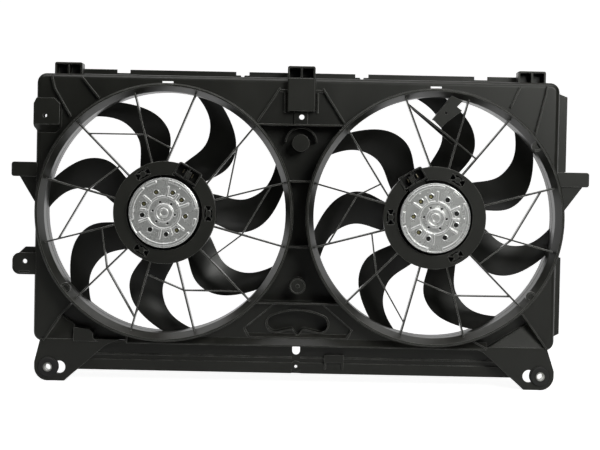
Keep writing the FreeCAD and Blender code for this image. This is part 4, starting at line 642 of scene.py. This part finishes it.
def hole_pressed(tree, height, off, edge, depth):
    """Height of the sheet once a hole with a soft edge is pressed into it."""
    inner = math_node(tree, "SUBTRACT", edge, HOLE_EDGE_IN)
    outer = math_node(tree, "ADD", edge, HOLE_EDGE_OUT)
    drop = math_node(tree, "MULTIPLY", soft_step(tree, off, inner, outer, 1.0, 0.0), depth)
    return math_node(tree, "SUBTRACT", height, drop)


def reduced(tree, operation, values):
    """One value from several, such as the lowest or the highest of them."""
    result = values[0]
    for value in values[1:]:
        result = math_node(tree, operation, result, value)
    return result


def section_curve(tree, radius):
    """Height of the pressing's section at a radius."""
    curve = add_node(tree, "ShaderNodeFloatCurve")
    line = curve.mapping.curves[0]
    spots = [(r / CAP_RADIUS, (h - CAP_LOWEST) / CAP_SPAN) for r, h in CAP_SECTION]
    line.points[0].location, line.points[1].location = spots[0], spots[-1]
    for spot in spots[1:-1]:
        line.points.new(*spot)
    for point in line.points:
        point.handle_type = "VECTOR"
    curve.mapping.update()
    link(tree, math_node(tree, "DIVIDE", radius, CAP_RADIUS), curve.inputs["Value"])
    return map_range(tree, curve.outputs[0], 0.0, 1.0, CAP_LOWEST, CAP_LOWEST + CAP_SPAN)


def polar_sheet(tree, centre):
    """Flat disc of rings and spokes that faces the engine, with its edge turned back as the skirt."""
    whole = CAP_RADIUS + CAP_SKIRT_DEPTH
    grid = add_node(tree, "GeometryNodeMeshGrid", (-2300, 300))
    for label, value in (("Size X", 1.0), ("Size Y", 1.0), ("Vertices X", int(whole / CAP_STEP)),
                         ("Vertices Y", CAP_SPOKES + 1)):
        grid.inputs[label].default_value = value
    parts = add_node(tree, "ShaderNodeSeparateXYZ", (-2300, 0))
    link(tree, add_node(tree, "GeometryNodeInputPosition", (-2500, 0)).outputs[0], parts.inputs[0])
    reach = map_range(tree, parts.outputs["X"], -0.5, 0.5, 0.0, whole)
    angle = map_range(tree, parts.outputs["Y"], -0.5, 0.5, 0.0, 2 * math.pi)
    radius = math_node(tree, "MULTIPLY", math_node(tree, "MINIMUM", reach, CAP_RADIUS), MM)
    past = math_node(tree, "MAXIMUM", math_node(tree, "SUBTRACT", reach, CAP_RADIUS), 0.0)
    back = math_node(tree, "MULTIPLY", past, MM)
    along, across = along_across(tree, radius, angle)
    spot = add_node(tree, "ShaderNodeCombineXYZ", (-1900, 0))
    for label, value in (("X", along), ("Y", back), ("Z", across)):
        link(tree, value, spot.inputs[label])
    placed = add_node(tree, "ShaderNodeVectorMath", (-1700, 0), operation="ADD")
    link(tree, spot.outputs[0], placed.inputs[0])
    link(tree, centre, placed.inputs[1])
    bend = add_node(tree, "GeometryNodeSetPosition", (-1500, 300))
    link(tree, grid.outputs["Mesh"], bend.inputs["Geometry"])
    link(tree, placed.outputs[0], bend.inputs["Position"])
    closed = add_node(tree, "GeometryNodeMergeByDistance", (-1300, 300))
    closed.inputs["Distance"].default_value = JOIN_REACH * MM
    link(tree, bend.outputs[0], closed.inputs["Geometry"])
    return closed.outputs[0]


def from_centre(tree, centre):
    """Radius in millimetres and direction of a point, seen along the motor's axis."""
    away = add_node(tree, "ShaderNodeVectorMath", (-1300, -200), operation="SUBTRACT")
    link(tree, add_node(tree, "GeometryNodeInputPosition", (-1500, -200)).outputs[0], away.inputs[0])
    link(tree, centre, away.inputs[1])
    parts = add_node(tree, "ShaderNodeSeparateXYZ", (-1100, -200))
    link(tree, away.outputs[0], parts.inputs[0])
    radius = math_node(tree, "DIVIDE", distance(tree, parts.outputs["X"], parts.outputs["Z"]), MM)
    return radius, math_node(tree, "ARCTAN2", parts.outputs["Z"], parts.outputs["X"])


def pressed(tree, sheet, height):
    """The sheet raised towards the engine by a height in millimetres, and shaded smooth."""
    push = add_node(tree, "ShaderNodeCombineXYZ", (1200, -200))
    link(tree, math_node(tree, "MULTIPLY", height, -MM), push.inputs["Y"])
    press = add_node(tree, "GeometryNodeSetPosition", (1400, 200))
    link(tree, sheet, press.inputs["Geometry"])
    link(tree, push.outputs[0], press.inputs["Offset"])
    smooth = add_node(tree, "GeometryNodeSetShadeSmooth", (1550, 200))
    link(tree, press.outputs[0], smooth.inputs["Geometry"])
    return smooth.outputs[0]


def with_crease_highlights(tree, sheet):
    """The sheet with its steep places stored as a named value that the finish reads and paints white as a
    highlight.
    """
    parts = add_node(tree, "ShaderNodeSeparateXYZ", (1550, -300))
    link(tree, add_node(tree, "GeometryNodeInputNormal", (1400, -300)).outputs[0], parts.inputs[0])
    level = math_node(tree, "ABSOLUTE", parts.outputs["Y"])
    crease_highlight = add_node(tree, "GeometryNodeStoreNamedAttribute", (1650, 200), data_type="FLOAT",
                      domain="POINT")
    link(tree, sheet, crease_highlight.inputs["Geometry"])
    crease_highlight.inputs["Name"].default_value = CREASE_HIGHLIGHT
    link(tree, soft_step(tree, level, *CREASE_HIGHLIGHT_LEVELS, 1.0, 0.0), crease_highlight.inputs["Value"])
    return crease_highlight.outputs[0]


def cap_pressing_tree(steel, brass, shadow):
    """Stamped cap: a turned section with ribs, vents, slots, dimples and a crimped rim round it."""
    tree, given, result = geometry_tree("cap_pressing", [
        ("Centre", "NodeSocketVector", None), ("Turn", "NodeSocketFloat", 0.0),
        ("Rib height", "NodeSocketFloat", CAP_RIB_HEIGHT),
        ("Rib half width", "NodeSocketFloat", CAP_RIB_HALF),
        ("Vent radius", "NodeSocketFloat", VENT_RADIUS), ("Vent depth", "NodeSocketFloat", VENT_DEPTH),
        ("Rim height", "NodeSocketFloat", RIM_HEIGHT), ("Brass middle", "NodeSocketFloat", 0.0),
        ("Brass half", "NodeSocketFloat", 1.0)])
    turn, size = given.outputs["Turn"], given.outputs["Vent radius"]
    sheet = polar_sheet(tree, given.outputs["Centre"])
    radius, angle = from_centre(tree, given.outputs["Centre"])
    vents = reduced(tree, "MINIMUM", [
        hole_distance(tree, radius, angle, turn, offset, VENT_PERIOD, VENT_CIRCLE)
        for offset in VENT_OFFSETS])
    slots = hole_distance(tree, radius, angle, turn, SLOT_OFFSET, SLOT_PERIOD, SLOT_CIRCLE)
    dimples = hole_distance(tree, radius, angle, turn, DIMPLE_OFFSET, DIMPLE_PERIOD, DIMPLE_CIRCLE)

    height = section_curve(tree, radius)
    half, tall = given.outputs["Rib half width"], given.outputs["Rib height"]
    for row in RIB_ROWS:
        height = math_node(tree, "MAXIMUM", height, rib_field(tree, radius, angle, turn, row, half, tall))
    rim = rim_field(tree, radius, angle, turn, given.outputs["Rim height"])
    height = math_node(tree, "ADD", height, rim)
    flat, end = (math_node(tree, "ADD", size, width) for width in (EYELET_FLAT, EYELET_END))
    height = math_node(tree, "ADD", height, soft_step(tree, vents, flat, end, EYELET_HEIGHT, 0.0))
    for off, edge, depth in ((vents, size, given.outputs["Vent depth"]), (slots, SLOT_RADIUS, SLOT_DEPTH),
                             (dimples, DIMPLE_RADIUS, DIMPLE_DEPTH)):
        height = hole_pressed(tree, height, off, edge, depth)

    # Painted shade: near-black inside the vents and slots, except a brass disc in the vents within the brass
    # arc
    inside = math_node(tree, "LESS_THAN", vents, math_node(tree, "SUBTRACT", size, VENT_WALL))
    painted_shade = math_node(tree, "MAXIMUM", inside, math_node(tree, "LESS_THAN", slots, SLOT_RADIUS))
    aside = math_node(tree, "ABSOLUTE", folded(tree, angle, given.outputs["Brass middle"], FULL_TURN))
    lit = math_node(tree, "LESS_THAN", aside, given.outputs["Brass half"])
    core = math_node(tree, "LESS_THAN", vents, math_node(tree, "MULTIPLY", size, BRASS_SHARE))
    finish_tree(tree, result, with_crease_highlights(tree, pressed(tree, sheet, height)), [
        (steel, None), (shadow, painted_shade), (brass, math_node(tree, "MULTIPLY", lit, core))])
    return tree


def socket_ribs_tree(plastic):
    """Row of thin ribs between two halves of a plug socket, on a common foot."""
    tree, given, result = geometry_tree("socket_ribs", [
        ("Place", "NodeSocketVector", None), ("Angle", "NodeSocketFloat", 0.0),
        ("Count", "NodeSocketInt", SOCKET_RIBS),
        ("Pitch", "NodeSocketFloat", SOCKET_RIB_PITCH * MM), ("Rib", "NodeSocketVector", None)])
    row = add_node(tree, "GeometryNodeMeshLine", (-1200, 200), mode="OFFSET")
    step = add_node(tree, "ShaderNodeCombineXYZ", (-1500, 0))
    link(tree, given.outputs["Pitch"], step.inputs["Z"])
    link(tree, given.outputs["Count"], row.inputs["Count"])
    link(tree, step.outputs[0], row.inputs["Offset"])
    shift = add_node(tree, "ShaderNodeVectorMath", (-1200, 0), operation="SCALE")
    link(tree, step.outputs[0], shift.inputs[0])
    link(tree, math_node(tree, "MULTIPLY", math_node(tree, "SUBTRACT", given.outputs["Count"], 1.0), -0.5),
         shift.inputs["Scale"])
    link(tree, shift.outputs[0], row.inputs["Start Location"])
    rib = add_node(tree, "GeometryNodeMeshCube", (-1200, -200))
    link(tree, given.outputs["Rib"], rib.inputs["Size"])
    place = add_node(tree, "GeometryNodeInstanceOnPoints", (-900, 100))
    link(tree, row.outputs["Mesh"], place.inputs["Points"])
    link(tree, rib.outputs["Mesh"], place.inputs["Instance"])
    foot = add_node(tree, "GeometryNodeMeshCube", (-1200, -400))
    spread = add_node(tree, "ShaderNodeVectorMath", (-1400, -400), operation="MULTIPLY")
    link(tree, given.outputs["Rib"], spread.inputs[0])
    spread.inputs[1].default_value = SOCKET_FOOT
    link(tree, spread.outputs[0], foot.inputs["Size"])
    lowered = add_node(tree, "GeometryNodeTransform", (-900, -300))
    link(tree, foot.outputs["Mesh"], lowered.inputs["Geometry"])
    lowered.inputs["Translation"].default_value = (0.0, SOCKET_FOOT_DEPTH * MM, 0.0)
    both = add_node(tree, "GeometryNodeJoinGeometry", (-600, 0))
    link(tree, place.outputs[0], both.inputs[0])
    link(tree, lowered.outputs[0], both.inputs[0])
    stand = add_node(tree, "GeometryNodeTransform", (-300, 0))
    turn = add_node(tree, "ShaderNodeCombineXYZ", (-600, -300))
    link(tree, math_node(tree, "MULTIPLY", given.outputs["Angle"], -1.0), turn.inputs["Y"])
    link(tree, both.outputs[0], stand.inputs["Geometry"])
    link(tree, given.outputs["Place"], stand.inputs["Translation"])
    link(tree, turn.outputs[0], stand.inputs["Rotation"])
    finish_tree(tree, result, stand.outputs[0], [(plastic, None)])
    return tree


def cap_pressing(side, tree):
    """One motor's cap, grown where the plain cap stands and backed by the sheet's thickness."""
    node = side + "_motor_end_cap"
    low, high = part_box(node)
    middle, half = BRASS_ARC[side]
    centre = ((low.x + high.x) / 2, low.y + CAP_INSET * MM, (low.z + high.z) / 2)
    cap = grown(side + "_cap_pressing", tree, {
        "Centre": centre, "Turn": math.radians(CAP_TURN[side]), "Rib height": CAP_RIB_HEIGHT,
        "Rib half width": CAP_RIB_HALF, "Vent radius": VENT_RADIUS, "Vent depth": VENT_DEPTH,
        "Rim height": RIM_HEIGHT, "Brass middle": math.radians(middle), "Brass half": math.radians(half)})
    thick = cap.modifiers.new("sheet", "SOLIDIFY")
    thick.thickness = CAP_SHEET * MM
    thick.offset = -1.0
    apply_modifiers(cap)
    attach(cap, "shroud")
    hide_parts(node)


def socket_ribs(side, tree):
    """Ribbed middle of one plug socket."""
    low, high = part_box(side + "_connector")
    place = ((low.x + high.x) / 2, low.y + SOCKET_RIB[1] / 2 * MM, (low.z + high.z) / 2)
    ribs = grown(side + "_socket_ribs", tree, {
        "Place": place, "Angle": math.radians(SOCKET_ANGLE[side]), "Count": SOCKET_RIBS,
        "Pitch": SOCKET_RIB_PITCH * MM, "Rib": tuple(size * MM for size in SOCKET_RIB)})
    apply_modifiers(ribs)
    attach(ribs, "shroud")


def apply_modifiers(piece):
    """Turn a piece with live modifiers into a plain mesh."""
    bpy.context.view_layer.update()
    done = bpy.data.meshes.new_from_object(piece.evaluated_get(bpy.context.evaluated_depsgraph_get()))
    piece.modifiers.clear()
    piece.data = done


# Studio

def area_light(name, place, aim, size, power, tint):
    data = bpy.data.lights.new(name, "AREA")
    data.shape = "RECTANGLE"
    data.size, data.size_y = size
    data.energy = power
    data.color = tint
    lamp = bpy.data.objects.new(name, data)
    lamp.location = place
    lamp.rotation_euler = (Vector(aim) - Vector(place)).to_track_quat("-Z", "Y").to_euler()
    bpy.context.scene.collection.objects.link(lamp)


def glow_by_ray(tree, seen, other, mirrored, place):
    """Glow that the camera sees, else the one in the object's reflections, else the one that lights it."""
    across, down = place
    ray = add_node(tree, "ShaderNodeLightPath", place)
    glossy = map_range(tree, ray.outputs["Is Glossy Ray"], 0.0, 1.0, other, mirrored, (across + 200, down))
    return map_range(tree, ray.outputs["Is Camera Ray"], 0.0, 1.0, glossy, seen, (across + 400, down))


def studio_paper():
    """Pale paper with a faint glow, which is bright in the object's reflections where it lies behind it."""
    material, tree, shader = new_material("studio_paper")
    where = add_node(tree, "ShaderNodeTexCoord", (-800, 0)).outputs["Object"]
    fibre = noise(tree, where, PAPER_FIBRES, detail=6.0, roughness=0.7, place=(-500, 0))
    link(tree, mix_colour(tree, fibre, *PAPER_TONES, (-200, 0)), shader.inputs["Base Color"])
    shader.inputs["Roughness"].default_value = PAPER_ROUGHNESS
    shader.inputs["Emission Color"].default_value = WHITE + (1.0,)
    parts = add_node(tree, "ShaderNodeSeparateXYZ", (-600, -300))
    link(tree, where, parts.inputs[0])
    behind = map_range(tree, parts.outputs["Y"], SHEEN_START, SHEEN_FULL, PAPER_GLOW, PAPER_SHEEN,
                       (-400, -300))
    glow = glow_by_ray(tree, PAPER_SEEN, PAPER_GLOW, behind, (-200, -300))
    link(tree, glow, shader.inputs["Emission Strength"])
    return material


def studio_sweep(level):
    """Pale paper sweep: a floor that curves up into a bright wall behind the object."""
    bend_start = SWEEP_BACK - SWEEP_BEND
    outline = [(SWEEP_FRONT, level), (bend_start, level)]
    for step in range(1, SWEEP_STEPS + 1):
        turn = math.pi / 2 * step / SWEEP_STEPS
        outline.append((bend_start + SWEEP_BEND * math.sin(turn), level + SWEEP_BEND * (1 - math.cos(turn))))
    outline.append((SWEEP_BACK, SWEEP_TOP))
    points = [(x, y, z) for y, z in outline for x in (-SWEEP_HALF, SWEEP_HALF)]
    faces = [(2 * k, 2 * k + 1, 2 * k + 3, 2 * k + 2) for k in range(len(outline) - 1)]
    mesh = bpy.data.meshes.new("studio_sweep")
    mesh.from_pydata(points, [], faces)
    for polygon in mesh.polygons:
        polygon.use_smooth = True
    mesh.materials.append(studio_paper())
    sweep = bpy.data.objects.new("studio_sweep", mesh)
    bpy.context.scene.collection.objects.link(sweep)


def studio_light():
    """Softboxes and the room's faint glow."""
    area_light("key_softbox", *KEY_SOFTBOX)
    area_light("fill_softbox", *FILL_SOFTBOX)
    area_light("top_softbox", *TOP_SOFTBOX)
    world = bpy.data.worlds.new("studio_air")
    world.use_nodes = True
    background = world.node_tree.nodes["Background"]
    background.inputs["Color"].default_value = WHITE + (1.0,)
    glow = glow_by_ray(world.node_tree, ROOM_SEEN, ROOM_GLOW, ROOM_GLOW, (-600, 0))
    link(world.node_tree, glow, background.inputs["Strength"])
    bpy.context.scene.world = world
    bpy.context.scene.view_settings.view_transform = "Standard"


def photo_camera():
    """Camera a little above the fans' level, turned as the picture is."""
    right = Vector((1.0, 0.0, 0.0))
    back = Vector((0.0, -math.cos(VIEW_ELEVATION), math.sin(VIEW_ELEVATION)))
    up = back.cross(right)
    turned_right = math.cos(VIEW_ROLL) * right + math.sin(VIEW_ROLL) * up
    turned_up = math.cos(VIEW_ROLL) * up - math.sin(VIEW_ROLL) * right
    data = bpy.data.cameras.new("photo_camera")
    data.lens = VIEW_LENS
    data.clip_start, data.clip_end = VIEW_CLIP
    camera = bpy.data.objects.new("photo_camera", data)
    place = Matrix((turned_right, turned_up, back)).transposed().to_4x4()
    place.translation = VIEW_TARGET + back * VIEW_DISTANCE
    camera.matrix_world = place
    bpy.context.scene.collection.objects.link(camera)
    bpy.context.scene.camera = camera


materials = make_materials()
dress_nodes(materials)
cap_tree = cap_pressing_tree(materials["stamped_cap_steel"], materials["vent_brass"],
                             materials["vent_shadow"])
rib_tree = socket_ribs_tree(materials["black_connector_plastic"])
for side in SIDES:
    cap_pressing(side, cap_tree)
    socket_ribs(side, rib_tree)
studio_sweep(cad_box[0][2])
studio_light()
photo_camera()
